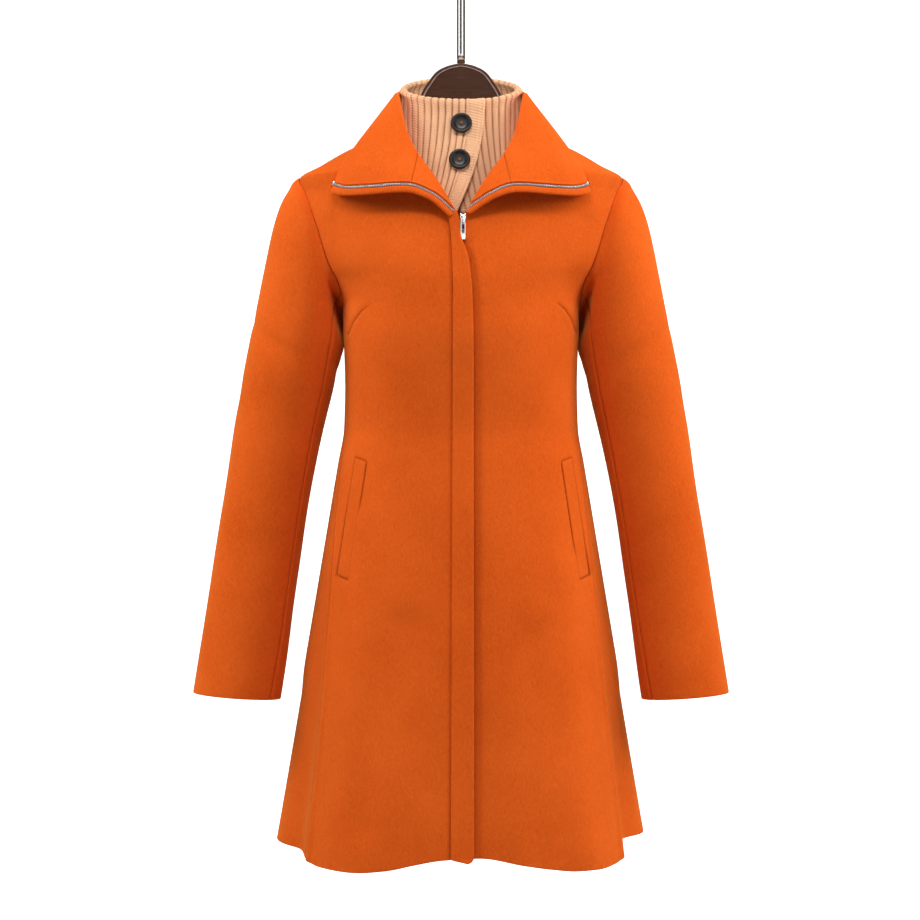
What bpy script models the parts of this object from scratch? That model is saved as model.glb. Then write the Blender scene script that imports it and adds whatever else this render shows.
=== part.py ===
"""Cashmere coat with a ribbed neck insert, hanging on a wooden hanger.

Sizes are in millimetres. Heights are measured from the high shoulder point, where the
shoulder seam meets the neck, as on a paper pattern. The front faces -Y and the wearer's
left is +X. The finished part hangs from the world origin, inside the hook's bend.
"""

import bpy
import bmesh
from collections import namedtuple
from math import asin, acos, atan2, cos, degrees, exp, pi, radians, sin

import numpy as np
from mathutils import Matrix, Vector

# Driving sizes
MM = 0.001
CLOTH = 2.5
COLLAR_CLOTH = 2.0
SEAM_GAP = 0.4
LAY_GAP = 0.4
NECK_GAP = 0.5
SQUARENESS = 2.25
FOLD_GROWTH = 1.4
HANG_DROP = 206.0
SHARP_ANGLE = 50.0

# Distances over which a surface's direction is taken
ANGLE_STEP = 0.5
LEVEL_STEP = 1.0
RING_STEP = 0.05
PLACE_STEP = 0.04
SHARE_STEP = 0.012
DOWN_STEP = 0.03

# Levels
TOP = -2.0
TIP = -60.0
TIP_ROUND = 6.0
ZIP_FOOT = -109.0
ARMPIT = -215.0
WAIST = -345.0
HIP = -460.0
HEM = -852.0
ZIP_OPENING = 8.0

# Body sections from the neck down: half width, depth in front of and behind the side line
Section = namedtuple("Section", "level half_width front back")
BODY = [
    Section(10, 58, 58, 58),
    Section(TOP, 80, 64, 66),
    Section(-14, 107, 70, 76),
    Section(-29, 139, 78, 84),
    Section(-45, 168, 86, 90),
    Section(TIP, 194, 92, 95),
    Section(-78, 189.6, 97.5, 99),
    Section(-103, 186.4, 104, 102),
    Section(-128, 180.5, 109, 104),
    Section(-150, 173.4, 114, 105),
    Section(-170, 163.5, 118, 105),
    Section(-185, 152, 120.5, 104.5),
    Section(-200, 144.8, 122, 104),
    Section(ARMPIT, 141, 123.5, 103),
    Section(-250, 140.2, 126, 99),
    Section(-310, 138.5, 122, 93),
    Section(-360, 140.2, 121, 92),
    Section(-400, 147, 124.5, 97),
    Section(-460, 157, 131, 107),
    Section(-660, 189, 154, 138),
    Section(HEM - 12, 221.5, 174, 165),
]

# Armhole seam: how far it runs in front of and behind the side line at each level
Armhole = namedtuple("Armhole", "level front back")
ARMHOLE = [
    Armhole(TIP, 0, 0),
    Armhole(-78, 24, 26),
    Armhole(-103, 39, 43),
    Armhole(-128, 46, 52),
    Armhole(-150, 48, 54),
    Armhole(-170, 46, 51),
    Armhole(-185, 38, 43),
    Armhole(-200, 25, 30),
    Armhole(ARMPIT, 0, 0),
]

# Neck edge of each front: distance from the centre line
NeckEdge = namedtuple("NeckEdge", "level across")
NECK_EDGE = [
    NeckEdge(ZIP_FOOT, 5.5),
    NeckEdge(-87, 18),
    NeckEdge(-68, 29.5),
    NeckEdge(-39, 50),
    NeckEdge(-17, 63),
    NeckEdge(-7, 71),
    NeckEdge(TOP, 74),
]

# Side seam, as an angle round the body from the centre front
SideSeam = namedtuple("SideSeam", "level angle")
SIDE_SEAM = [
    SideSeam(ARMPIT, 90),
    SideSeam(-330, 83),
    SideSeam(-415, 72.5),
    SideSeam(-513, 66),
    SideSeam(-611, 60),
    SideSeam(-716, 55.5),
    SideSeam(HEM, 52.5),
]

# Hem height round the body, negative angles to the wearer's right
HemPoint = namedtuple("HemPoint", "angle level")
HEM_LINE = [
    HemPoint(-180, -849),
    HemPoint(-90, -851),
    HemPoint(-64, -853),
    HemPoint(-47, -863),
    HemPoint(-28, -863),
    HemPoint(-11, -855),
    HemPoint(0, HEM),
    HemPoint(16, -856),
    HemPoint(32, -860),
    HemPoint(50, -860),
    HemPoint(64, -849),
    HemPoint(90, -847),
    HemPoint(180, -849),
]

# Skirt folds: angle at the hem, half spread, height (troughs negative), level of the start
Fold = namedtuple("Fold", "angle spread height start")
FOLDS = [
    Fold(-28, 15, 11, -400),
    Fold(-9, 7, -4, -520),
    Fold(7, 8, -5, -480),
    Fold(33, 16, 10, -400),
    Fold(-53, 8, -9, -420),
    Fold(-80, 15, 5, -450),
    Fold(57, 8, -12, -420),
    Fold(82, 14, 4, -450),
    Fold(-118, 13, -8, -440),
    Fold(-146, 15, 9, -430),
    Fold(-172, 10, -6, -500),
    Fold(160, 14, 9, -420),
    Fold(132, 12, -9, -450),
    Fold(108, 13, 5, -480),
]

FRONT_COLUMNS = 10
BACK_COLUMNS = 22

# Back neck rises above the shoulder level at the centre back
BACK_RISE = 17.0
BACK_RISE_END = -75.0

# Sleeve rings from the shoulder to the cuff, in the front view and in depth
Ring = namedtuple("Ring", "outer_x outer_z inner_x inner_z middle_y depth")
SLEEVE = [
    Ring(203, -70, 145, -221, 3, 53),
    Ring(213, -87, 145.5, -227, 3, 55),
    Ring(221, -110, 146, -234, 3, 57),
    Ring(229, -140, 146, -243, 3, 58),
    Ring(238, -180, 146, -256, 3, 58),
    Ring(247, -224, 147, -273, 2, 58),
    Ring(256, -268, 149, -294, 1, 57),
    Ring(270, -345, 162, -364, -1, 54),
    Ring(285.6, -455, 180.5, -472, -7, 50),
    Ring(301, -556, 196, -573, -14, 47),
    Ring(319, -673, 214.5, -681, -23, 46),
]

# Collar stations from the zip foot to the centre back: roll line, outer edge, neck seam, radius of
# the fold, and how full the fall is. The neck seam is a level on the front's neck edge and, past the
# shoulder, an angle round the top
Station = namedtuple("Station", "roll edge neck fold full")
COLLAR = [
    Station((5.5, -111.5, -109), (14, -113.5, -115), ZIP_FOOT, 3.2, 0.34),
    Station((18, -107.5, -87), (31, -116, -99), -87, 3.8, 0.34),
    Station((29.5, -103, -68), (46, -118, -91.5), -68, 4.4, 0.34),
    Station((50, -90, -38.5), (57, -118, -87.5), -39, 5, 0.34),
    Station((61, -78, -15), (80, -115, -87), -19, 5.5, 0.34),
    Station((68, -60, 14), (109, -106, -88.5), -7, 5.5, 0.34),
    Station((71.5, -43, 34), (137, -89, -88), TOP, 5.5, 0.34),
    Station((73, -30, 39), (154, -74, -83), 76, 5, 0.34),
    Station((73.5, -18, 41), (146, -69, -57), 84, 4.5, 0.25),
    Station((73.5, -5, 42.5), (135, -50, -34), 92, 4, 0.06),
    Station((72.5, 10, 45), (124, 0, -13.5), 102, 4, 0.04),
    Station((67, 31, 50), (118, 47, -22), 121, 4, 0.08),
    Station((51, 52, 54), (92, 82, -31), 140, 4.5, 0.2),
    Station((27, 65, 57), (49, 100, -37), 160, 5, 0.3),
    Station((0, 70, 58), (0, 105, -40), 180, 5.5, 0.34),
]
COLLAR_SEAM = 3
COLLAR_SHOULDER = 6
COLLAR_CORNER = 7
STAND_SHARE = 0.3
FOLD_SHARE = 0.5
COLLAR_SHARES = (0, 0.15, STAND_SHARE, 0.4, FOLD_SHARE, 0.62, 0.75, 0.88, 1)
COLLAR_ROWS = 44
LAPEL_ROWS = 9

# Open zip tape on the collar and lapel edge
ZIP_FROM_EDGE = 7.0
ZIP_WIDTH = 4.0
ZIP_THICK = 1.4
ZIP_FIRST = 0.25
ZIP_LAST = 6.9
ZIP_ROWS = 22
CHAIN_SHORT = 8.0

# Placket edges, wearer's right (sewn) and left (free)
PlacketRow = namedtuple("PlacketRow", "level sewn free")
PLACKET = [
    PlacketRow(-118, -13.5, -6),
    PlacketRow(-130, -12, -4),
    PlacketRow(-146, -10.6, -1.5),
    PlacketRow(-168, -9.6, 7),
    PlacketRow(-204, -8.7, 12),
    PlacketRow(-256, -9, 13.4),
    PlacketRow(HEM, -11.3, 13.9),
]
PLACKET_CLOTH = 2.0
PLACKET_COLUMNS = 3

# Welt pockets: distance from the centre line of both long edges, top and bottom
Welt = namedtuple("Welt", "top bottom inner_top outer_top inner_bottom outer_bottom slant")
WELT_RIGHT = Welt(-394, -535, 110, 124, 130, 146, 5)
WELT_LEFT = Welt(-394, -535, 117, 130, 137, 151, 5)
WELT_CLOTH = 2.0
WELT_ROWS = 8
WELT_COLUMNS = 2

# Ribbed neck band: top rim, lower edge and overlap
KNIT_HALF = 69.5
KNIT_FRONT = 60.0
KNIT_BACK = 58.0
KNIT_LEVEL = 46.0
KNIT_TILT = 0.33
KNIT_WALL = 3.0
KNIT_RIM = 2.0
KNIT_OUTER = (1, 0.72, 0.45, 0.2, 0.03)
KNIT_INNER = (0.03, 0.5, 1)
RIB_COUNT = 58
RIB_HEIGHT = 1.6
KNIT_UNDER_END = -15.0
KNIT_OVER_END = 383.6
KNIT_LAP = 6.6
KNIT_LAP_FROM = 46.0
KNIT_LAP_OVER = 20.0
KNIT_FAN = 40.0
KnitFoot = namedtuple("KnitFoot", "angle across depth level")
KNIT_FOOT = [
    KnitFoot(-23.6, 5.8, -97, -108),
    KnitFoot(-5, 21, -95, -100),
    KnitFoot(10.6, 31.5, -90, -88),
    KnitFoot(29, 42, -80.5, -68),
    KnitFoot(47, 52, -69, -46),
    KnitFoot(64, 61, -54, -27),
    KnitFoot(78, 71.5, -27, 1),
    KnitFoot(90, 76.2, 0, 9),
    KnitFoot(121, 68.3, 32.1, 14),
    KnitFoot(150, 39, 57.5, 23),
    KnitFoot(180, 0, 65.3, 26),
]

# Buttons on the knit: share of the way down the band, and place across it
BUTTON_RADIUS = 12.6
BUTTON_HEIGHT = 4.2
BUTTON_STEPS = 20
BUTTON_PROFILE = [(0, 0.55), (0.52, 0.55), (0.66, 0.72), (0.8, 1), (0.93, 0.95), (1, 0.7),
                  (0.96, 0.3), (0.6, 0), (0, 0)]
ButtonPlace = namedtuple("ButtonPlace", "name angle down")
BUTTONS = [
    ButtonPlace("button_upper", 360.0, 0.24),
    ButtonPlace("button_lower", 366.0, 0.60),
]

# Zip slider and pull tab
SLIDER_X = 2.4
SLIDER_TOP = -113.0
SLIDER_HEIGHT = 12.0
SLIDER_WIDTH = 8.0
SLIDER_THICK = 5.0
SLIDER_BEVEL = 1.4
BAIL_RADIUS = 2.8
BAIL_WIRE = 0.7
BAIL_LOW = 4.2
BAIL_STEPS = 20
WIRE_STEPS = 8
PULL_WIDTH = 5.8
PULL_LENGTH = 21.0
PULL_THICK = 1.2
PULL_BEVEL = 0.4
PULL_WINDOW = (3.4, 8.0)
PULL_BAR = 1.2
PULL_OFF = 1.3

# Hanger board and hook
HANGER_THICK = 13.0
HANGER_BEVEL = 1.5
HANGER_BEVEL_STEPS = 1
HANGER_TOP = 77.0
HANGER_CAP = [(0, HANGER_TOP), (16, 75), (30, 67.5), (40, 54.5), (48, 41), (57, 16), (64, 2), (71, -6)]
HANGER_ARM_LEVELS = (-6, -14, -21.5, -29, -37, -45, -49)
HANGER_UNDER = [(177, -72), (139, -60), (100, -42), (66, -20), (34, 0), (0, 6)]
HANGER_GAP = 0.7
CAP_STEPS = 21
ROD_RADIUS = 5.0
STEM_TOP = 156.0
HOOK_RADIUS = 25.0
HOOK_RISE = 30.0
LEAN_STEPS = 6
BEND_STEPS = 12
ROD_STEPS = 3


def through(rows, value):
    """Smooth curve through one column of a table, level where the column turns."""
    order = np.argsort([row[0] for row in rows])
    places = np.array([rows[i][0] for i in order], float)
    values = np.array([getattr(rows[i], value) for i in order], float)
    grades = np.diff(values) / np.diff(places)
    slopes = np.concatenate(([grades[0]], np.zeros(len(grades) - 1), [grades[-1]]))
    for i in range(1, len(grades)):
        if grades[i - 1] * grades[i] > 0:
            slopes[i] = 2 * grades[i - 1] * grades[i] / (grades[i - 1] + grades[i])

    def at(place):
        if place <= places[0]:
            return values[0] + slopes[0] * (place - places[0])
        if place >= places[-1]:
            return values[-1] + slopes[-1] * (place - places[-1])
        i = int(np.searchsorted(places, place)) - 1
        span = places[i + 1] - places[i]
        f = (place - places[i]) / span
        rise = values[i + 1] - values[i]
        bend = span * (slopes[i] * (1 - f) - slopes[i + 1] * f) + rise * (2 * f - 1)
        return values[i] + f * rise + f * (1 - f) * bend

    return at


def spline(points):
    """Curve through points, one unit of its parameter to each span."""
    points = np.asarray(points, float)

    def at(t):
        i = int(np.clip(np.floor(t), 0, len(points) - 2))
        f = t - i
        here, after = points[i], points[i + 1]
        before = points[i - 1] if i > 0 else 2 * here - after
        beyond = points[i + 2] if i + 2 < len(points) else 2 * after - here
        bend = 2 * before - 5 * here + 4 * after - beyond
        twist = 3 * (here - after) + beyond - before
        return here + 0.5 * f * (after - before + f * (bend + f * twist))

    return at


def unit(vector):
    return vector / np.linalg.norm(vector)


def facing(surface, u, v, du, dv):
    """Unit normal of surface(u, v), from points either side of it."""
    along = surface(u + du, v) - surface(u - du, v)
    down = surface(u, v + dv) - surface(u, v - dv)
    return unit(np.cross(along, down))


half_width = through(BODY, "half_width")
front_depth = through(BODY, "front")
back_depth = through(BODY, "back")
armhole_front = through(ARMHOLE, "front")
armhole_back = through(ARMHOLE, "back")
neck_edge = through(NECK_EDGE, "across")
side_seam = through(SIDE_SEAM, "angle")
hem_level = through(HEM_LINE, "level")
placket_sewn = through(PLACKET, "sewn")
placket_free = through(PLACKET, "free")


def rounded(part):
    return np.sign(part) * abs(part) ** (2 / SQUARENESS)


def fold_height(angle, level):
    """How far the skirt's folds push the cloth out."""
    total = 0
    for fold in FOLDS:
        share = np.clip((fold.start - level) / (fold.start - HEM), 0, 1)
        turn = (angle - fold.angle + 180) % 360 - 180
        total += fold.height * share ** FOLD_GROWTH * exp(-(turn / fold.spread) ** 2)
    return total


def body(angle, level):
    """Point on the coat's body, at an angle from the centre front towards +X."""
    side, front = sin(radians(angle)), cos(radians(angle))
    half = half_width(level)
    depth = front_depth(level) if front > 0 else back_depth(level)
    x, y = half * rounded(side), -depth * rounded(front)
    out = unit(np.array((x / half ** 2, y / depth ** 2)))
    push = fold_height(angle, level)
    rise_share = np.clip((level - BACK_RISE_END) / (TOP - BACK_RISE_END), 0, 1.2)
    rise = BACK_RISE * rise_share ** 2 * min(front, 0) ** 2
    return np.array((x + out[0] * push, y + out[1] * push, level + rise))


def body_out(angle, level):
    return facing(body, angle, level, ANGLE_STEP, LEVEL_STEP)


def angle_across(across, level):
    """Angle on the front at a distance from the centre line."""
    share = min(abs(across) / half_width(level), 1)
    return np.sign(across) * degrees(asin(share ** (SQUARENESS / 2)))


def angle_at_depth(forward, level, in_front):
    """Angle on the wearer's left side at a distance from the side line."""
    depth = front_depth(level) if in_front else back_depth(level)
    angle = degrees(acos(min(forward / depth, 1) ** (SQUARENESS / 2)))
    return angle if in_front else 180 - angle


def panel_end(level, in_front):
    """Angle of the shoulder seam, armhole or side seam at a level."""
    if level >= TIP:
        return 90.0
    if level > ARMPIT:
        reach = armhole_front(level) if in_front else armhole_back(level)
        return angle_at_depth(reach, level, in_front)
    return side_seam(level)


def hang(angle, level):
    """Level below the armpit, stretched so that the last row meets the hem line."""
    if level >= ARMPIT:
        return level
    return ARMPIT + (level - ARMPIT) * (hem_level(angle) - ARMPIT) / (HEM - ARMPIT)


def steps(start, end, count):
    return [start + (end - start) * i / count for i in range(count)]


def armhole_turn(level, in_front):
    """Turn round the armhole from the shoulder tip, by the front, at a level."""
    middle, reach = (TIP + ARMPIT) / 2, (TIP - ARMPIT) / 2
    turn = degrees(acos(np.clip((level - middle) / reach, -1, 1)))
    return turn if in_front else 360 - turn


def armhole_level(turn):
    return (TIP + ARMPIT) / 2 + (TIP - ARMPIT) / 2 * cos(radians(turn))


# Rows of the body panels; the armhole's rows are also the lengthwise lines of the sleeves
FOOT_TURN = armhole_turn(ZIP_FOOT, True)
ARMHOLE_TURNS = steps(0, FOOT_TURN, 4) + steps(FOOT_TURN, 180, 6) + [180]
LEVELS = (steps(TOP, TIP, 6) + [armhole_level(turn) for turn in ARMHOLE_TURNS[:-1]]
          + steps(ARMPIT, WAIST, 4) + steps(WAIST, HIP, 4) + steps(HIP, HEM, 7) + [HEM])
SLEEVE_TURNS = ARMHOLE_TURNS + [360 - turn for turn in ARMHOLE_TURNS[-2:0:-1]]
SLEEVE_FRONT_SEAM = 8
SLEEVE_BACK_SEAM = 15
SLEEVE_RINGS = [0, 0.5] + steps(1, 7, 6) + steps(7, 11, 8) + [11]


# Sleeves
def armhole_point(turn):
    """Armhole seam of the wearer's left side, from the shoulder tip round the front."""
    level = armhole_level(turn)
    in_front = turn % 360 < 180
    return body(panel_end(min(level, TIP - 1e-6), in_front), level)


def ring_point(ring, turn):
    outer = np.array((ring.outer_x, ring.middle_y, ring.outer_z))
    inner = np.array((ring.inner_x, ring.middle_y, ring.inner_z))
    middle, reach = (outer + inner) / 2, (outer - inner) / 2
    forward = np.array((0, -ring.depth, 0))
    return middle + reach * cos(radians(turn)) + forward * sin(radians(turn))


def sleeve(turn, ring):
    """Point on the wearer's left sleeve; ring 0 is the armhole seam."""
    points = [armhole_point(turn)] + [ring_point(row, turn) for row in SLEEVE]
    return spline(points)(ring)


def sleeve_out(turn, ring):
    return facing(sleeve, turn, max(ring, 2 * RING_STEP), ANGLE_STEP, RING_STEP)


def sleeve_heading(turn):
    """Direction in which the sleeve leaves the armhole seam."""
    return unit(sleeve(turn, SLEEVE_RINGS[1]) - sleeve(turn, 0))


def armhole_out(turn):
    """Direction shared by the body's and the sleeve's cut edges along the armhole."""
    in_front = turn % 360 < 180
    level = max(armhole_level(turn), ARMPIT + SEAM_GAP)
    if level > TIP - SEAM_GAP:
        level = TIP + TIP_ROUND
    panel_out = body_out(panel_end(level, in_front), level)
    return unit(panel_out + sleeve_out(turn, 0))


# Collar and lapels, from the zip foot on one side round the back to the other
def mirrored_row(points):
    """Half a row of stations, mirrored to run from the right side to the left."""
    points = np.asarray(points, float)
    other = points[:-1] * (-1, 1, 1)
    return np.concatenate((other, points[::-1]))


LAST = len(COLLAR) - 1
neck_level = spline([station.neck for station in COLLAR[:COLLAR_SHOULDER + 1]])
neck_angle = spline([angle_across(neck_edge(TOP), TOP)]
                    + [station.neck for station in COLLAR[COLLAR_SHOULDER + 1:]])
roll_line = spline(mirrored_row([station.roll for station in COLLAR]))
edge_front = spline([station.edge for station in COLLAR[:COLLAR_CORNER + 1]])
edge_back = spline(mirrored_row([station.edge for station in COLLAR[COLLAR_CORNER:]]))
fold_size = spline([station.fold for station in COLLAR])
fall_fullness = spline([station.full for station in COLLAR])


def neck_seam(place):
    """Neck seam, just off the body, and the body's outward direction there."""
    station, side = LAST - abs(place), np.sign(place) or 1
    if station <= COLLAR_SHOULDER:
        level = float(neck_level(station))
        angle = angle_across(neck_edge(level), level)
    else:
        level, angle = TOP, float(neck_angle(station - COLLAR_SHOULDER))
    out = body_out(angle, level)
    return (body(angle, level) + NECK_GAP * out) * (side, 1, 1), out * (side, 1, 1)


def edge_line(place):
    """Outer edge, with a sharp corner where the zip ends."""
    station = LAST - abs(place)
    if station < COLLAR_CORNER:
        return edge_front(station) * (np.sign(place) or 1, 1, 1)
    return edge_back(place + LAST - COLLAR_CORNER)


def collar(place, share):
    """Point on the collar's face: stand, roll and fall; place 0 is the centre back."""
    neck, roll, edge = neck_seam(place)[0], roll_line(place + LAST), edge_line(place)
    fold = float(fold_size(LAST - abs(place)))
    up = unit(roll - neck)
    out = unit((edge - roll) - np.dot(edge - roll, up) * up)
    start = roll - fold * up
    if share <= STAND_SHARE:
        return neck + (start - neck) * share / STAND_SHARE
    middle = start + fold * out
    toward = unit(edge - middle)
    turn = atan2(np.dot(toward, out), np.dot(toward, up))
    if share <= FOLD_SHARE:
        turn *= (share - STAND_SHARE) / (FOLD_SHARE - STAND_SHARE)
        return middle + fold * (up * sin(turn) - out * cos(turn))
    away = up * sin(turn) - out * cos(turn)
    start = middle + fold * away
    fall = (share - FOLD_SHARE) / (1 - FOLD_SHARE)
    full = float(fall_fullness(LAST - abs(place)))
    bulge = full * np.linalg.norm(edge - start) * fall ** 2 * (1 - fall)
    return start + (edge - start) * fall + bulge * away


def collar_out(place, share):
    inset = min(max(share, SHARE_STEP), 1 - SHARE_STEP)
    return facing(collar, place, inset, PLACE_STEP, SHARE_STEP)


def fall_length(place):
    start, end = collar(place, FOLD_SHARE), collar(place, 1.0)
    return np.linalg.norm(end - start)


# Ribbed neck band
knit_across = through(KNIT_FOOT, "across")
knit_depth = through(KNIT_FOOT, "depth")
knit_foot_level = through(KNIT_FOOT, "level")


def knit(angle, down):
    """Point on the knit band's plain outer face, from its rim down to its foot."""
    side = 1 if angle < 180 else -1
    turn = angle if angle < 180 else 360 - angle
    rim_y = -(KNIT_FRONT if cos(radians(turn)) > 0 else KNIT_BACK) * cos(radians(turn))
    rim = np.array((KNIT_HALF * sin(radians(turn)), rim_y, KNIT_LEVEL + KNIT_TILT * rim_y))
    foot = np.array((knit_across(turn), knit_depth(turn), knit_foot_level(turn)))
    fan = np.clip((90 - turn) / KNIT_FAN, 0, 1)
    point = rim + (foot - rim) * down
    point[0] = rim[0] + (foot[0] - rim[0]) * down ** (1 + fan)
    if side > 0:
        point[1] += KNIT_LAP * np.clip((KNIT_LAP_FROM - turn) / KNIT_LAP_OVER, 0, 1)
    return point * (side, 1, 1)


def knit_out(angle, down):
    inset = min(max(down, DOWN_STEP), 1 - DOWN_STEP)
    return -facing(knit, angle, inset, ANGLE_STEP, DOWN_STEP)


# Mesh makers
def new_material(name, colour, roughness, metallic=0.0):
    material = bpy.data.materials.new(name)
    material.use_nodes = True
    shader = material.node_tree.nodes["Principled BSDF"]
    shader.inputs["Base Color"].default_value = (*colour, 1)
    shader.inputs["Roughness"].default_value = roughness
    shader.inputs["Metallic"].default_value = metallic
    return material


def add_object(name, data, material):
    """Object in the coat's collection, hung from the shoulder point."""
    thing = bpy.data.objects.new(name, data)
    collection.objects.link(thing)
    thing.parent = shoulder_point
    data.materials.append(material)
    return thing


def mesh_object(name, bm, material):
    bmesh.ops.recalc_face_normals(bm, faces=bm.faces)
    mesh = bpy.data.meshes.new(name)
    bm.to_mesh(mesh)
    bm.free()
    mesh.shade_smooth()
    mesh.set_sharp_from_angle(angle=radians(SHARP_ANGLE))
    return add_object(name, mesh, material)


def grid_vertices(bm, grid):
    return [[bm.verts.new(Vector(point) * MM) for point in row] for row in grid]


def wall(name, face, back, material):
    """Cloth wall between two grids of points, closed along all four edges."""
    bm = bmesh.new()
    outer, inner = grid_vertices(bm, face), grid_vertices(bm, back)
    rows, columns = len(outer), len(outer[0])
    for sheet in (outer, inner):
        for i in range(rows - 1):
            for j in range(columns - 1):
                bm.faces.new((sheet[i][j], sheet[i][j + 1], sheet[i + 1][j + 1], sheet[i + 1][j]))
    for i in range(rows - 1):
        for j in (0, columns - 1):
            bm.faces.new((outer[i][j], outer[i + 1][j], inner[i + 1][j], inner[i][j]))
    for j in range(columns - 1):
        for i in (0, rows - 1):
            bm.faces.new((outer[i][j], outer[i][j + 1], inner[i][j + 1], inner[i][j]))
    return mesh_object(name, bm, material)


def offset_grid(points, normals, distance):
    return [[p + distance * n for p, n in zip(row, out)] for row, out in zip(points, normals)]


def shorten(row, start_gap, end_gap):
    """Draw the ends of a row of points back from the seams."""
    row[0] = row[0] + start_gap * unit(row[1] - row[0])
    row[-1] = row[-1] + end_gap * unit(row[-2] - row[-1])
    return row


def flip(grid, side):
    return [[point * (side, 1, 1) for point in row] for row in grid]


def front_panel(name, side, material):
    """One front, from the centre to the shoulder seam, armhole and side seam."""
    columns = FRONT_COLUMNS
    points, normals = [], []
    for level in LEVELS:
        start_x = neck_edge(level) if level > ZIP_FOOT else ZIP_OPENING / 2
        start, end = angle_across(start_x, level), panel_end(level, True)
        angles = [side * (start + (end - start) * j / columns) for j in range(columns + 1)]
        row = [body(angle, hang(angle, level)) for angle in angles]
        outs = [body_out(angle, hang(angle, level)) for angle in angles]
        if not TIP > level > ARMPIT:
            row = shorten(row, 0, SEAM_GAP / 2)
        if TIP >= level >= ARMPIT:
            turn = armhole_turn(level, True)
            row[-1] = row[-1] - SEAM_GAP / 2 * sleeve_heading(turn) * (side, 1, 1)
            outs[-1] = armhole_out(turn) * (side, 1, 1)
        points.append(row)
        normals.append(outs)
    return wall(name, points, offset_grid(points, normals, -CLOTH), material)


def back_panel(name, material):
    """The back, from one side seam round to the other."""
    columns = BACK_COLUMNS
    points, normals = [], []
    for level in LEVELS:
        end = panel_end(level, False)
        angles = [end + (360 - 2 * end) * j / columns for j in range(columns + 1)]
        turns = [(angle + 180) % 360 - 180 for angle in angles]
        row = [body(turn, hang(turn, level)) for turn in turns]
        outs = [body_out(turn, hang(turn, level)) for turn in turns]
        if not TIP > level > ARMPIT:
            row = shorten(row, SEAM_GAP / 2, SEAM_GAP / 2)
        if TIP >= level >= ARMPIT:
            turn = armhole_turn(level, False)
            for j, side in ((0, 1), (-1, -1)):
                row[j] = row[j] - SEAM_GAP / 2 * sleeve_heading(turn) * (side, 1, 1)
                outs[j] = armhole_out(turn) * (side, 1, 1)
        points.append(row)
        normals.append(outs)
    return wall(name, points, offset_grid(points, normals, -CLOTH), material)


def sleeve_piece(name, side, turns, material):
    """Part of a sleeve between two lengthwise seams."""
    points, normals = [], []
    for ring in SLEEVE_RINGS:
        row = [sleeve(turn, ring) for turn in turns]
        outs = [sleeve_out(turn, ring) for turn in turns]
        if ring == 0:
            outs = [armhole_out(turn) for turn in turns]
            row = [point + SEAM_GAP / 2 * sleeve_heading(turn) for point, turn in zip(row, turns)]
        points.append(shorten(row, SEAM_GAP / 2, SEAM_GAP / 2))
        normals.append(outs)
    back = offset_grid(points, normals, -CLOTH)
    return wall(name, flip(points, side), flip(back, side), material)


def collar_piece(name, start, end, rows, material):
    """Part of the collar between two stations."""
    points, normals = [], []
    for i in range(rows + 1):
        place = start + (end - start) * i / rows
        points.append([collar(place, share) for share in COLLAR_SHARES])
        normals.append([collar_out(place, share) for share in COLLAR_SHARES])
        seat = neck_seam(place)[1]
        normals[-1][0] = unit(normals[-1][0] - np.dot(normals[-1][0], seat) * seat)
    for last, inside in ((0, 1), (-1, -2)):
        inward = [unit(after - here) for here, after in zip(points[last], points[inside])]
        points[last] = [here + SEAM_GAP / 2 * step for here, step in zip(points[last], inward)]
    return wall(name, points, offset_grid(points, normals, -COLLAR_CLOTH), material)


def zip_strip(name, side, material):
    """Open half of the zip, lying on the lapel and collar near their edge."""
    face, back = [], []
    for i in range(ZIP_ROWS + 1):
        station = ZIP_FIRST + (ZIP_LAST - ZIP_FIRST) * i / ZIP_ROWS
        place = side * (LAST - station)
        reach = (1 - FOLD_SHARE) / fall_length(place)
        shares = [1 - reach * away for away in (ZIP_FROM_EDGE + ZIP_WIDTH, ZIP_FROM_EDGE)]
        base = [collar(place, share) for share in shares]
        outs = [collar_out(place, share) for share in shares]
        back.append([p + LAY_GAP * n for p, n in zip(base, outs)])
        face.append([p + (LAY_GAP + ZIP_THICK) * n for p, n in zip(base, outs)])
    return wall(name, face, back, material)


def strip_on_front(name, levels, sewn, free, columns, inner, outer, material):
    """Strip that follows the front's surface between two edges given across it."""
    face, back = [], []
    for level in levels:
        start, end = angle_across(sewn(level), level), angle_across(free(level), level)
        angles = [start + (end - start) * j / columns for j in range(columns + 1)]
        hung = [hang(angle, level) for angle in angles]
        base = [body(angle, low) for angle, low in zip(angles, hung)]
        outs = [body_out(angle, low) for angle, low in zip(angles, hung)]
        back.append([p + inner * n for p, n in zip(base, outs)])
        face.append([p + outer * n for p, n in zip(base, outs)])
    return wall(name, face, back, material)


def welt_pocket(name, side, welt, material):
    """Welt lying on the front, its top and bottom ends slanting with the pocket."""
    rows, columns = WELT_ROWS, WELT_COLUMNS
    face, back = [], []
    for i in range(rows + 1):
        share = i / rows
        inner = welt.inner_top + (welt.inner_bottom - welt.inner_top) * share
        outer = welt.outer_top + (welt.outer_bottom - welt.outer_top) * share
        base, outs = [], []
        for j in range(columns + 1):
            across = inner + (outer - inner) * j / columns
            level = welt.top + (welt.bottom - welt.top) * share
            level += welt.slant * (j / columns - 1)
            angle = side * angle_across(across, level)
            base.append(body(angle, hang(angle, level)))
            outs.append(body_out(angle, hang(angle, level)))
        back.append([p + LAY_GAP * n for p, n in zip(base, outs)])
        face.append([p + (LAY_GAP + WELT_CLOTH) * n for p, n in zip(base, outs)])
    return wall(name, face, back, material)


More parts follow.
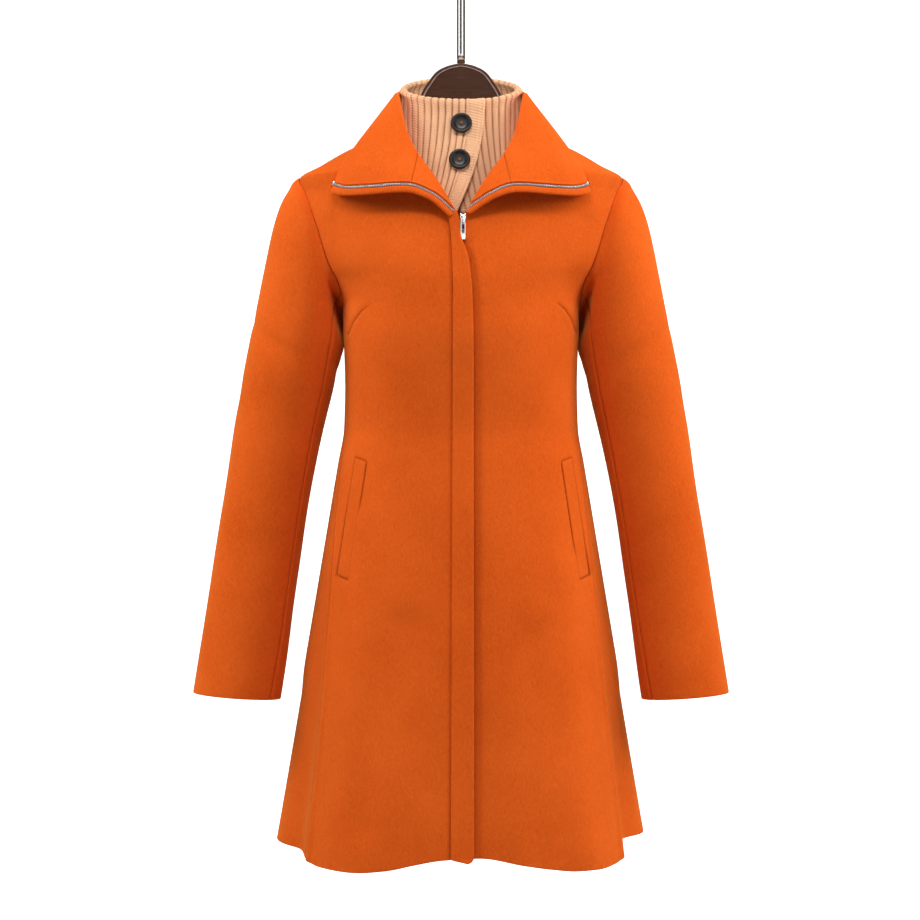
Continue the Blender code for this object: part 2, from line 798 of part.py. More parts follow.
def knit_band(name, material):
    """Ribbed band: each section runs up the outer face, over the rim and down inside."""
    bm = bmesh.new()
    sections = []
    columns = 2 * RIB_COUNT
    for i in range(columns + 1):
        angle = KNIT_UNDER_END + (KNIT_OVER_END - KNIT_UNDER_END) * i / columns
        rib = RIB_HEIGHT * (i % 2)
        loop = [knit(angle, share) + rib * knit_out(angle, share) for share in KNIT_OUTER]
        rim = knit(angle, 0) - KNIT_WALL / 2 * knit_out(angle, 0)
        loop.append(rim + np.array((0, 0, KNIT_RIM + rib / 2)))
        loop += [knit(angle, share) - KNIT_WALL * knit_out(angle, share) for share in KNIT_INNER]
        sections.append([bm.verts.new(Vector(point) * MM) for point in loop])
    size = len(sections[0])
    for here, after in zip(sections, sections[1:]):
        for j in range(size):
            bm.faces.new((here[j], here[(j + 1) % size], after[(j + 1) % size], after[j]))
    bm.faces.new(sections[0])
    bm.faces.new(sections[-1])
    return mesh_object(name, bm, material)


def turned_button(place, material):
    """Round button with a raised rim and a dished face, turned about its own axis."""
    bm = bmesh.new()
    points = [(BUTTON_RADIUS * r, 0, BUTTON_HEIGHT * h) for r, h in BUTTON_PROFILE]
    vertices = [bm.verts.new(Vector(point) * MM) for point in points]
    for here, after in zip(vertices, vertices[1:]):
        bm.edges.new((here, after))
    mesh = bpy.data.meshes.new(place.name)
    bm.to_mesh(mesh)
    bm.free()
    button = add_object(place.name, mesh, material)
    screw = button.modifiers.new("turn", "SCREW")
    screw.steps = BUTTON_STEPS
    screw.render_steps = BUTTON_STEPS
    screw.use_merge_vertices = True
    screw.merge_threshold = 0.00001
    out = knit_out(place.angle, place.down)
    seat = knit(place.angle, place.down) + (RIB_HEIGHT + LAY_GAP) * out
    button.location = Vector(seat) * MM
    button.rotation_euler = Vector(out).to_track_quat("Z", "Y").to_euler()
    return button


def box_mesh(name, size, bevel):
    """Box of a size, with its edges rounded."""
    bm = bmesh.new()
    bmesh.ops.create_cube(bm, size=1)
    bmesh.ops.scale(bm, verts=bm.verts, vec=Vector(size) * MM)
    if bevel:
        bmesh.ops.bevel(bm, geom=bm.edges, offset=bevel * MM, segments=2, affect="EDGES",
                        profile=0.5)
    mesh = bpy.data.meshes.new(name)
    bm.to_mesh(mesh)
    bm.free()
    return mesh


def helper_object(name, mesh, location, rotation):
    """Hidden shape that a Boolean adds or cuts."""
    helper = bpy.data.objects.new(name, mesh)
    helpers.objects.link(helper)
    helper.location = location
    helper.rotation_euler = rotation
    helper.hide_render = True
    helper.display_type = "WIRE"
    return helper


def boolean(thing, helper, operation):
    cut = thing.modifiers.new(operation.lower(), "BOOLEAN")
    cut.operation = operation
    cut.solver = "EXACT"
    cut.object = helper


# Build
for leftover in list(bpy.data.objects):
    bpy.data.objects.remove(leftover, do_unlink=True)

collection = bpy.data.collections.new("coat_on_hanger")
bpy.context.scene.collection.children.link(collection)
helpers = bpy.data.collections.new("helpers")
bpy.context.scene.collection.children.link(helpers)
shoulder_point = bpy.data.objects.new("shoulder_point", None)
collection.objects.link(shoulder_point)
shoulder_point.location = (0, 0, -HANG_DROP * MM)

cloth = new_material("coat_cloth", (0.76, 0.12, 0.014), 0.9)
knit_wool = new_material("rib_knit", (0.72, 0.36, 0.18), 0.95)
wood = new_material("walnut", (0.065, 0.024, 0.012), 0.35)
chrome = new_material("chrome", (0.8, 0.8, 0.82), 0.1, 1.0)
zip_metal = new_material("zip_metal", (0.72, 0.72, 0.74), 0.25, 1.0)
horn = new_material("button_black", (0.012, 0.01, 0.009), 0.25)

front_panel("front_right", -1, cloth)
front_panel("front_left", 1, cloth)
back_panel("back", cloth)
for side, word in ((-1, "right"), (1, "left")):
    over = [turn - 360 for turn in SLEEVE_TURNS[SLEEVE_BACK_SEAM:]]
    over += SLEEVE_TURNS[:SLEEVE_FRONT_SEAM + 1]
    under = SLEEVE_TURNS[SLEEVE_FRONT_SEAM:SLEEVE_BACK_SEAM + 1]
    sleeve_piece(f"sleeve_{word}_top", side, over, cloth)
    sleeve_piece(f"sleeve_{word}_under", side, under, cloth)

seam = LAST - COLLAR_SEAM
collar_piece("collar", -seam, seam, COLLAR_ROWS, cloth)
collar_piece("lapel_right", -LAST, -seam, LAPEL_ROWS, cloth)
collar_piece("lapel_left", seam, LAST, LAPEL_ROWS, cloth)
zip_strip("zip_right", -1, zip_metal)
zip_strip("zip_left", 1, zip_metal)

placket_levels = [row.level for row in PLACKET[:3]]
placket_levels += [level for level in LEVELS if level < PLACKET[3].level + 10]
strip_on_front("placket", placket_levels, placket_sewn, placket_free, PLACKET_COLUMNS,
               LAY_GAP, LAY_GAP + PLACKET_CLOTH, cloth)
welt_pocket("welt_right", -1, WELT_RIGHT, cloth)
welt_pocket("welt_left", 1, WELT_LEFT, cloth)

chain_edge = ZIP_OPENING / 2 - SEAM_GAP
chain_levels = [SLIDER_TOP - SLIDER_HEIGHT / 2]
chain_levels += [level for level in LEVELS if HEM < level < chain_levels[0]] + [HEM + CHAIN_SHORT]
strip_on_front("zip_chain", chain_levels, lambda level: -chain_edge, lambda level: chain_edge,
               1, -ZIP_THICK, 0, zip_metal)

knit_band("knit_collar", knit_wool)
for place in BUTTONS:
    turned_button(place, horn)

# The slider lies against the zip, and its bail stands out of its face
slider_level = SLIDER_TOP - SLIDER_HEIGHT / 2
slider_angle = angle_across(SLIDER_X, slider_level)
slider_out = body_out(0, slider_level)
slider_seat = body(slider_angle, slider_level)
tilt = atan2(slider_out[2], -slider_out[1])
slider_middle = slider_seat + (LAY_GAP + SLIDER_THICK / 2) * slider_out
slider_middle[0] = SLIDER_X
slider_mesh = box_mesh("zip_slider", (SLIDER_WIDTH, SLIDER_THICK, SLIDER_HEIGHT), SLIDER_BEVEL)
slider = add_object("zip_slider", slider_mesh, chrome)
slider.location = Vector(slider_middle) * MM
slider.rotation_euler = (-tilt, 0, 0)

slider_down = np.array((0, slider_out[2], -slider_out[1]))
slider_down = slider_down * np.sign(-slider_down[2])
bail_middle = slider_middle + SLIDER_THICK / 2 * slider_out + BAIL_LOW * slider_down
bpy.ops.mesh.primitive_torus_add(major_radius=BAIL_RADIUS * MM, minor_radius=BAIL_WIRE * MM,
                                 major_segments=BAIL_STEPS, minor_segments=WIRE_STEPS)
bail = bpy.context.object
bail_mesh = bail.data
bpy.data.objects.remove(bail)
bail = helper_object("bail", bail_mesh, Vector(bail_middle) * MM + shoulder_point.location,
                     (-tilt, pi / 2, 0))
boolean(slider, bail, "UNION")

# The pull tab hangs from the bail by the bar above its window
hinge = bail_middle + PULL_OFF * slider_out
pull_mesh = box_mesh("zip_pull", (PULL_WIDTH, PULL_THICK, PULL_LENGTH), PULL_BEVEL)
pull = add_object("zip_pull", pull_mesh, chrome)
pull.location = Vector(hinge) * MM
window_width, window_height = PULL_WINDOW
pull.data.transform(Matrix.Translation((0, 0, (PULL_BAR - PULL_LENGTH) / 2 * MM)))
window_middle = hinge - np.array((0, 0, PULL_BAR / 2 + window_height / 2))
window_mesh = box_mesh("pull_window", (window_width, 3 * PULL_THICK, window_height), 0)
window = helper_object("pull_window", window_mesh,
                       Vector(window_middle) * MM + shoulder_point.location, (0, 0, 0))
boolean(pull, window, "DIFFERENCE")

# Hanger board: a flat outline with rounded edges, its arms just under the shoulder cloth
cap = spline(HANGER_CAP)
outline = [cap(i) for i in steps(0, len(HANGER_CAP) - 1, CAP_STEPS)] + [cap(len(HANGER_CAP) - 1)]
for level in HANGER_ARM_LEVELS:
    slope = (half_width(level - 1) - half_width(level + 1)) / 2
    drop = CLOTH * (1 + slope ** -2) ** 0.5 + HANGER_GAP
    outline.append(np.array((half_width(level), level - drop)))
outline += [np.array(point, float) for point in HANGER_UNDER]
outline += [point * (-1, 1) for point in outline[-2:0:-1]]
board = bpy.data.curves.new("hanger", "CURVE")
board.dimensions = "2D"
board.fill_mode = "BOTH"
board.extrude = (HANGER_THICK / 2 - HANGER_BEVEL) * MM
board.bevel_depth = HANGER_BEVEL * MM
board.bevel_resolution = HANGER_BEVEL_STEPS
board.offset = -HANGER_BEVEL * MM
line = board.splines.new("POLY")
line.points.add(len(outline) - 1)
for spot, point in zip(line.points, outline):
    spot.co = (point[0] * MM, point[1] * MM, 0, 1)
line.use_cyclic_u = True
hanger = add_object("hanger", board, wood)
hanger.rotation_euler = (pi / 2, 0, 0)

# Hook: the stem rises, leans out and bends over, so that it hangs above the middle
hook_middle = STEM_TOP + HOOK_RISE
route = [(0, HANGER_TOP + LAY_GAP), (0, STEM_TOP)]
for rise in steps(1, 0, LEAN_STEPS)[::-1]:
    route.append((HOOK_RADIUS * (1 - cos(pi * rise)) / 2, STEM_TOP + HOOK_RISE * rise))
for turn in steps(pi, 0, BEND_STEPS)[::-1]:
    route.append((HOOK_RADIUS * cos(turn), hook_middle + HOOK_RADIUS * sin(turn)))
rod = bpy.data.curves.new("hanger_hook", "CURVE")
rod.dimensions = "3D"
rod.bevel_depth = ROD_RADIUS * MM
rod.bevel_resolution = ROD_STEPS
rod.use_fill_caps = True
line = rod.splines.new("POLY")
line.points.add(len(route) - 1)
for spot, (x, z) in zip(line.points, route):
    spot.co = (x * MM, 0, z * MM, 1)
add_object("hanger_hook", rod, chrome)
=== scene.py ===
from math import cos, pi, radians, sin

import bmesh
import bpy
import numpy as np
from mathutils import Matrix, Vector


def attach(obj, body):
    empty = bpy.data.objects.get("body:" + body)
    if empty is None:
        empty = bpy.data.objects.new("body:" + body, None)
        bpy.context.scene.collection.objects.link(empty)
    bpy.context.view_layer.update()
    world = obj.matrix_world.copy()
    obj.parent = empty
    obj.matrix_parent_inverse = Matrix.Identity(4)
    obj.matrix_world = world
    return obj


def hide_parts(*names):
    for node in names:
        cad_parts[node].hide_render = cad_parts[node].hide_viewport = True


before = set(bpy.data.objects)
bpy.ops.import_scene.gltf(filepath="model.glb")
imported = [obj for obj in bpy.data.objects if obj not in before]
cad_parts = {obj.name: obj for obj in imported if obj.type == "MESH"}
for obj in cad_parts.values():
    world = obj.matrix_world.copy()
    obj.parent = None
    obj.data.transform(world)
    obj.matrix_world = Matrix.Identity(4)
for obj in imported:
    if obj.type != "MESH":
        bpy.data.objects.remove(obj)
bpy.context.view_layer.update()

# Studio: a white cove with a pale floor, soft light from the front and sides, and a long lens
# level with the middle of the coat, as in the photograph.
FLOOR, FLOOR_FRONT = -2.1, -5.0
WALL_Y, WALL_TOP = 4.4, 3.0
COVE, ROOM_HALF = 2.6, 4.0


def feed(tree, node, **sockets):
    """Give a node its inputs, by name or i-number: sockets are linked, and other values are set."""
    for key, value in sockets.items():
        number = key[1:]
        socket = node.inputs[int(number) if number.isdigit() else key.replace("_", " ")]
        if isinstance(value, bpy.types.NodeSocket):
            tree.links.new(value, socket)
        else:
            socket.default_value = value


def put(tree, kind, options=(), **sockets):
    """New node: options are its own settings, sockets its inputs."""
    node = tree.nodes.new(kind)
    for option, value in dict(options).items():
        setattr(node, option, value)
    feed(tree, node, **sockets)
    return node


def new_material(name):
    material = bpy.data.materials.new(name)
    material.use_nodes = True
    return material, material.node_tree, material.node_tree.nodes["Principled BSDF"]


def add(name, data):
    """New object in the scene."""
    thing = bpy.data.objects.new(name, data)
    bpy.context.scene.collection.objects.link(thing)
    return thing


def soft_light(name, place, aim, width, height, power, tint):
    """Area light; bright metal mirrors only the one above."""
    data = bpy.data.lights.new(name, "AREA")
    data.shape = "RECTANGLE"
    data.size, data.size_y = width, height
    data.energy = power
    data.color = tint
    light = add(name, data)
    light.location = place
    light.rotation_euler = (Vector(aim) - Vector(place)).to_track_quat("-Z", "Y").to_euler()
    light.visible_glossy = name == "top"


def strip_mesh(name, profile, half_width, material):
    """Sheet swept straight across from a side profile of y and z."""
    bm = bmesh.new()
    sides = [[bm.verts.new((x, y, z)) for y, z in profile] for x in (-half_width, half_width)]
    for left, right, right_on, left_on in zip(sides[0], sides[1], sides[1][1:], sides[0][1:]):
        bm.faces.new((left, right, right_on, left_on))
    mesh = bpy.data.meshes.new(name)
    bm.to_mesh(mesh)
    bm.free()
    mesh.shade_smooth()
    mesh.materials.append(material)
    sheet = add(name, mesh)
    return sheet


floor_paint, tree, shader = new_material("floor_paint")
feed(tree, shader, Base_Color=(0.86, 0.86, 0.86, 1), Roughness=0.7)
strip_mesh("floor", [(FLOOR_FRONT, FLOOR), (WALL_Y - COVE, FLOOR)], ROOM_HALF, floor_paint)
wall_paint, tree, shader = new_material("wall_paint")
feed(tree, shader, Base_Color=(0.9, 0.9, 0.9, 1), Emission_Color=(1, 1, 1, 1), Emission_Strength=0.9)
bend = [(WALL_Y - COVE + COVE * sin(a), FLOOR + COVE - COVE * cos(a)) for a in np.linspace(0, pi / 2, 16)]
backdrop = strip_mesh("backdrop", bend + [(WALL_Y, WALL_TOP)], ROOM_HALF, wall_paint)
backdrop.visible_diffuse = False
backdrop.visible_glossy = False
# Cards that only bright metal mirrors: half width, profile in y and z, middle and turn about Z
for name, half, profile, place, turn in (
        ("front_card", 1.1, [(0, -1.3), (0, 0.35)], (0, -4.5, 0), 0),
        ("high_card", 1.1, [(0, 1.0), (0, 2.8)], (0, -4.5, 0), 0),
        ("over_card", 1.2, [(-1.2, 2.8), (0.5, 2.8)], (0, 0, 0), 0),
        ("right_card", 1.0, [(0, -0.6), (0, 1.8)], (2.0, -2.2, 0), 43),
        ("left_card", 0.9, [(0, -0.6), (0, 1.8)], (-2.5, -1.7, 0), -55)):
    card = strip_mesh(name, profile, half, wall_paint)
    card.location = place
    card.rotation_euler = (0, 0, radians(turn))
    card.visible_diffuse = False
    card.visible_camera = False
    card.visible_shadow = False

MIDDLE = (0, 0, -0.55)
soft_light("key", (2.3, -0.55, 0.9), MIDDLE, 1.2, 1.6, 62, (1, 0.98, 0.95))
soft_light("fill", (-2.2, -0.55, 1.1), MIDDLE, 1.2, 1.4, 54, (0.97, 1, 1.03))
soft_light("top", (0, -2.0, 2.3), (0, 0, -0.4), 1.6, 0.6, 74, (1, 1, 1))
soft_light("right_rim", (2.2, 1.0, 0.8), MIDDLE, 0.8, 1.6, 18, (1, 1, 1))
soft_light("left_rim", (-2.2, 1.0, 0.8), MIDDLE, 0.8, 1.6, 16, (1, 1, 1))
sky = bpy.data.worlds.new("studio_air")
sky.use_nodes = True
feed(sky.node_tree, sky.node_tree.nodes["Background"], Color=(1, 0.84, 0.7, 1), Strength=0.1)
bpy.context.scene.world = sky
bpy.context.scene.view_settings.view_transform = "Standard"

camera_data = bpy.data.cameras.new("camera")
camera_data.lens = 104.35
camera_data.sensor_width = 36
camera = add("camera", camera_data)
camera.location = (-0.0012, -3.2, -0.6034)
camera.rotation_euler = (pi / 2, 0, 0)
bpy.context.scene.camera = camera

# Body of the coat: two fronts and a back of napped cashmere cloth, sewn at the shoulders and
# sides. Sizes are in millimetres from the high shoulder point, as on a pattern.
HANG_DROP = 206.0
MM = 0.001
CLOTH = 1.9
SEAM_GAP = 0.4
LAY_GAP = 0.4
SQUARENESS = 2.25
FOLD_GROWTH = 1.4
TOP, TIP, ZIP_FOOT, ARMPIT, HEM = -2.0, -60.0, -109.0, -215.0, -852.0
BACK_RISE, BACK_RISE_END = 17.0, -75.0

# level, half width, depth in front of and behind the side line
BODY = [
    (10, 58, 58, 58), (TOP, 80, 64, 66), (-14, 107, 70, 76), (-29, 139, 78, 84), (-45, 168, 86, 90),
    (TIP, 194, 92, 95), (-78, 189.6, 97.5, 99), (-103, 186.4, 104, 102), (-128, 180.5, 109, 104),
    (-150, 173.4, 114, 105), (-170, 163.5, 118, 105), (-185, 152, 120.5, 104.5), (-200, 144.8, 122, 104),
    (ARMPIT, 141, 123.5, 103), (-250, 140.2, 126, 99), (-310, 138.5, 122, 93), (-360, 140.2, 121, 92),
    (-400, 147, 124.5, 97), (-460, 157, 131, 107), (-660, 189, 154, 138), (HEM - 12, 221.5, 174, 165),
]
# level, how far the armhole seam runs in front of and behind the side line
ARMHOLE = [
    (TIP, 0, 0), (-78, 24, 26), (-103, 39, 43), (-128, 46, 52), (-150, 48, 54), (-170, 46, 51),
    (-185, 38, 43), (-200, 25, 30), (ARMPIT, 0, 0),
]
# level, distance of the neck edge from the centre line
NECK_EDGE = [(ZIP_FOOT, 5.5), (-87, 18), (-68, 29.5), (-39, 50), (-17, 63), (-7, 71), (TOP, 74)]
# level, angle of the side seam from the centre front
SIDE_SEAM = [(ARMPIT, 90), (-330, 83), (-415, 72.5), (-513, 66), (-611, 60), (-716, 56.3), (HEM, 54)]
LEFT_SEAM_SHIFT, LEFT_SHIFT_TOP, LEFT_SHIFT_OVER = 5.0, -450.0, 200.0
# angle, level of the hem
HEM_LINE = [
    (-180, -849), (-90, -846), (-66, -852), (-54, -859.5), (-45, -865), (-30, -867), (-20, -864),
    (-11, -857), (-4, HEM), (4, -850), (16, -858), (25, -863), (33, -866), (42, -866.5), (52, -863),
    (58.5, -857), (62, -846), (67, -842.5), (90, -839.5), (180, -849),
]
# angle at the hem, half spread, height, level of the start
FOLDS = [
    (-28, 15, 11, -400), (-9, 7, -4, -520), (7, 8, -5, -480), (33, 16, 10, -400), (-64, 9, -14, -420),
    (-82, 12, 5, -450), (69, 9, -16, -420), (84, 11, 4, -450), (-118, 13, -8, -440), (-146, 15, 9, -430),
    (-172, 10, -6, -500), (160, 14, 9, -420), (132, 12, -9, -450), (108, 13, 5, -480),
]


def through(rows, column):
    """Smooth curve through one column of a table, level where the column turns."""
    rows = np.array(sorted(rows), float)
    places, values = rows[:, 0], rows[:, column]
    grades = np.diff(values) / np.diff(places)
    slopes = np.concatenate((grades[:1], np.zeros(len(grades) - 1), grades[-1:]))
    product = grades[:-1] * grades[1:]
    same = product > 0
    slopes[1:-1][same] = 2 * product[same] / (grades[:-1] + grades[1:])[same]

    def at(place):
        place = np.asarray(place, float)
        i = np.clip(np.searchsorted(places, place) - 1, 0, len(grades) - 1)
        span = places[i + 1] - places[i]
        f = (place - places[i]) / span
        rise = values[i + 1] - values[i]
        bow = span * (slopes[i] * (1 - f) - slopes[i + 1] * f) + rise * (2 * f - 1)
        before = values[0] + slopes[0] * (place - places[0])
        beyond = values[-1] + slopes[-1] * (place - places[-1])
        return np.where(f < 0, before, np.where(f > 1, beyond, values[i] + f * rise + f * (1 - f) * bow))

    return at


half_width, front_depth, back_depth = (through(BODY, column) for column in (1, 2, 3))
armhole_front, armhole_back = through(ARMHOLE, 1), through(ARMHOLE, 2)
neck_edge, side_seam, hem_level = through(NECK_EDGE, 1), through(SIDE_SEAM, 1), through(HEM_LINE, 1)


def unit(vectors):
    return vectors / np.maximum(np.linalg.norm(vectors, axis=-1, keepdims=True), 1e-9)


def dot(a, b):
    return np.sum(a * b, axis=-1, keepdims=True)


def rounded(part):
    return np.sign(part) * np.abs(part) ** (2 / SQUARENESS)


def body(angle, level):
    """Points on the coat's body, at angles from the centre front towards +X."""
    angle, level = np.broadcast_arrays(np.asarray(angle, float), np.asarray(level, float))
    side, front = np.sin(np.radians(angle)), np.cos(np.radians(angle))
    half = half_width(level)
    depth = np.where(front > 0, front_depth(level), back_depth(level))
    x, y = half * rounded(side), -depth * rounded(front)
    out = unit(np.stack((x / half ** 2, y / depth ** 2), -1))
    push = np.zeros_like(x)
    for fold, spread, height, start in FOLDS:
        share = np.clip((start - level) / (start - HEM), 0, 1)
        turn = (angle - fold + 180) % 360 - 180
        push += height * share ** FOLD_GROWTH * np.exp(-(turn / spread) ** 2)
    share = np.clip((level - BACK_RISE_END) / (TOP - BACK_RISE_END), 0, 1.2)
    rise = BACK_RISE * share ** 2 * np.minimum(front, 0) ** 2
    return np.stack((x + out[..., 0] * push, y + out[..., 1] * push, level + rise), -1)


def body_out(angle, level):
    along = body(angle + 0.5, level) - body(angle - 0.5, level)
    down = body(angle, level + 1.0) - body(angle, level - 1.0)
    return unit(np.cross(along, down))


def angle_across(across, level):
    share = np.minimum(np.abs(across) / half_width(level), 1)
    return np.sign(across) * np.degrees(np.arcsin(share ** (SQUARENESS / 2)))


def panel_end(level, in_front, side=-1):
    """Angle of the shoulder seam, armhole or side seam at each level; side is 1 on the wearer's left."""
    reach = armhole_front(level) if in_front else armhole_back(level)
    depth = front_depth(level) if in_front else back_depth(level)
    angle = np.degrees(np.arccos(np.clip(reach / depth, 0, 1) ** (SQUARENESS / 2)))
    armhole = angle if in_front else 180 - angle
    shift = LEFT_SEAM_SHIFT * np.clip((LEFT_SHIFT_TOP - level) / LEFT_SHIFT_OVER, 0, 1)
    low = side_seam(level) + (shift if side > 0 else 0)
    return np.where(level >= TIP, 90.0, np.where(level > ARMPIT, armhole, low))


def hang(angle, level):
    """Level below the armpit, stretched so that the last row meets the hem line."""
    low = ARMPIT + (level - ARMPIT) * (hem_level(angle) - ARMPIT) / (HEM - ARMPIT)
    return np.where(level >= ARMPIT, level, low)


def runs(start, *spans):
    """Places down several even runs, each given by its end and its number of places."""
    parts = [np.array([start], float)]
    for end, count in spans:
        parts.append(np.linspace(parts[-1][-1], end, count)[1:])
    return np.concatenate(parts)


def edged(count, reach, fine):
    """Places from 0 to 1, close together near both ends."""
    near = reach * np.linspace(0, 1, fine + 1)[:-1] ** 1.5
    return np.concatenate((near, np.linspace(reach, 1 - reach, count), 1 - near[::-1]))


def grid_out(face):
    """Directions out of a grid of points."""
    return unit(np.cross(np.gradient(face, axis=1), np.gradient(face, axis=0)))


def along_rows(face):
    """Distance of each point from the start and from the end of its row."""
    lengths = np.linalg.norm(np.diff(face, axis=1), axis=-1)
    start = np.concatenate((np.zeros((len(face), 1)), np.cumsum(lengths, axis=1)), axis=1)
    return start, start[:, -1:] - start


def from_line(points, line):
    """Distance of points from a line of straight runs."""
    best = np.full(points.shape[:-1], 1e9)
    for a, b in zip(line, line[1:]):
        a, b = np.array(a, float), np.array(b, float)
        share = np.clip(((points - a) @ (b - a)) / ((b - a) @ (b - a)), 0, 1)
        best = np.minimum(best, np.linalg.norm(points - a - share[..., None] * (b - a), axis=-1))
    return best


def bell(distance, spread):
    return np.exp(-(distance / spread) ** 2)


def sewn_in(distance, sink):
    """Height of cloth that swells a little beside a seam and sinks into it."""
    return 0.4 * bell(distance - 5, 3) - sink * bell(distance, 1.6)


def growing_down(levels, start, over):
    """Column of shares from 0 at one level to 1 further down."""
    return np.clip((start - levels) / over, 0, 1)[:, None]


def draw_in(face, ends, gap):
    """Draw the first or last column of a grid back, to leave a gap at the seam."""
    for end in ends:
        face[:, end] += gap * unit(face[:, 1 if end == 0 else -2] - face[:, end])


def odd(grid):
    """Grid with a row or column put in where their number is even."""
    if len(grid) % 2 == 0:
        grid = np.concatenate((grid[:1], (grid[:1] + grid[1:2]) / 2, grid[1:]))
    if grid.shape[1] % 2 == 0:
        grid = np.concatenate((grid[:, :1], (grid[:, :1] + grid[:, 1:2]) / 2, grid[:, 1:]), axis=1)
    return grid


def shell(name, face, thick, material, bulge=(1, 1, 1, 1), flip=False, shade=None):
    """Thin cloth between a grid of outer points and its inner side, with rounded edges.

    bulge is how round the first row, last row, first column and last column are, and shade is
    how much painted shade each point gets, darkening the cloth's colour where shade falls.
    """
    shade = odd(np.zeros(face.shape[:2]) if shade is None else shade + np.zeros(face.shape[:2]))
    face = odd(face)
    rows, columns = face.shape[:2]
    out = grid_out(face) * (-1 if flip else 1)
    inner = (face - thick * out)[::2, ::2]
    few = inner.shape[1]
    number = np.arange(rows * columns).reshape(rows, columns)
    inside = rows * columns + np.arange(inner.shape[0] * few).reshape(-1, few)
    vertices = [face.reshape(-1, 3), inner.reshape(-1, 3)]
    faces = []
    for table, turn in ((number, not flip), (inside, flip)):
        corners = np.stack((table[:-1, :-1], table[1:, :-1], table[1:, 1:], table[:-1, 1:]), -1)
        corners = corners.reshape(-1, 4)
        faces += (corners[:, ::-1] if turn else corners).tolist()

    def around(table):
        return np.concatenate((table[0, :-1], table[:-1, -1], table[-1, :0:-1], table[:0:-1, 0]))

    edge, edge_out = around(number), out.reshape(-1, 3)[around(number)]
    points = face.reshape(-1, 3)[edge]
    within = np.concatenate((number[1, :-1], number[:-1, -2], number[-2, :0:-1], number[:0:-1, 1]))
    away = unit(points - face.reshape(-1, 3)[within])
    away = unit(away - dot(away, edge_out) * edge_out)
    first, last, left, right = bulge
    amount = np.concatenate((np.full(columns - 1, first), np.full(rows - 1, right),
                             np.full(columns - 1, last), np.full(rows - 1, left)))[:, None]
    amount = (amount + np.roll(amount, 1) + np.roll(amount, -1)) / 3
    rings, count = [edge], sum(len(v) for v in vertices)
    for step in (1, 2, 3):
        turn = pi * step / 4
        vertices.append(points - thick / 2 * edge_out
                        + thick / 2 * (edge_out * cos(turn) + amount * away * sin(turn)))
        rings.append(count + np.arange(len(edge)))
        count += len(edge)
    for here, beyond in zip(rings, rings[1:]):
        quads = np.stack((here, np.roll(here, -1), np.roll(beyond, -1), beyond), -1)
        faces += (quads if flip else quads[:, ::-1]).tolist()
    end_ring, lip = rings[-1], around(inside)
    fives = np.stack((end_ring[::2], end_ring[1::2], np.roll(end_ring, -2)[::2], np.roll(lip, -1), lip), -1)
    faces += (fives if flip else fives[:, ::-1]).tolist()
    mesh = bpy.data.meshes.new(name)
    mesh.from_pydata((np.concatenate(vertices) + (0, 0, -HANG_DROP)) * MM, [], faces)
    mesh.shade_smooth()
    mesh.materials.append(material)
    # Painted shade: the shade values are kept in the 'seam' attribute, which the cloth material reads to
    # darken its colour.
    deep = np.concatenate((shade.ravel(), np.zeros(inside.size), np.tile(shade.ravel()[edge], 3)))
    layer = mesh.attributes.new("seam", "FLOAT", "POINT")
    layer.data.foreach_set("value", deep.astype(np.float32))
    return add(name, mesh)


# Dark colour of the painted shade that the cloth takes on in seams, darts, pocket openings and beside folds.
PAINTED_SHADE_COLOUR = (0.16, 0.014, 0.001)


def textured(name):
    """New material, its tree and shader, and the place on the piece that its textures go by."""
    material, tree, shader = new_material(name)
    return material, tree, shader, put(tree, "ShaderNodeTexCoord").outputs["Object"]


def maths(tree, operation, *values):
    """Result of a maths node on up to three values."""
    inputs = {f"i{i}": value for i, value in enumerate(values)}
    return put(tree, "ShaderNodeMath", {"operation": operation}, **inputs).outputs["Value"]


def noise(tree, place, scale, detail, **more):
    return put(tree, "ShaderNodeTexNoise", Vector=place, Scale=scale, Detail=detail, **more).outputs["Fac"]


def two_tone(tree, mix, dark, light, low=0.0, high=1.0):
    """Colour that runs from dark to light as a value goes from low to high."""
    ramp = put(tree, "ShaderNodeValToRGB", Fac=mix)
    for stop, place, colour in zip(ramp.color_ramp.elements, (low, high), (dark, light)):
        stop.position = place
        stop.color = (*colour, 1)
    return ramp.outputs["Color"]


def mixed(tree, mix, first, second):
    blend = put(tree, "ShaderNodeMix", {"data_type": "RGBA"}, Factor=mix, A=first, B=second)
    return blend.outputs["Result"]


def bumps(tree, height, strength, distance):
    return put(tree, "ShaderNodeBump", Strength=strength, Distance=distance, Height=height).outputs["Normal"]


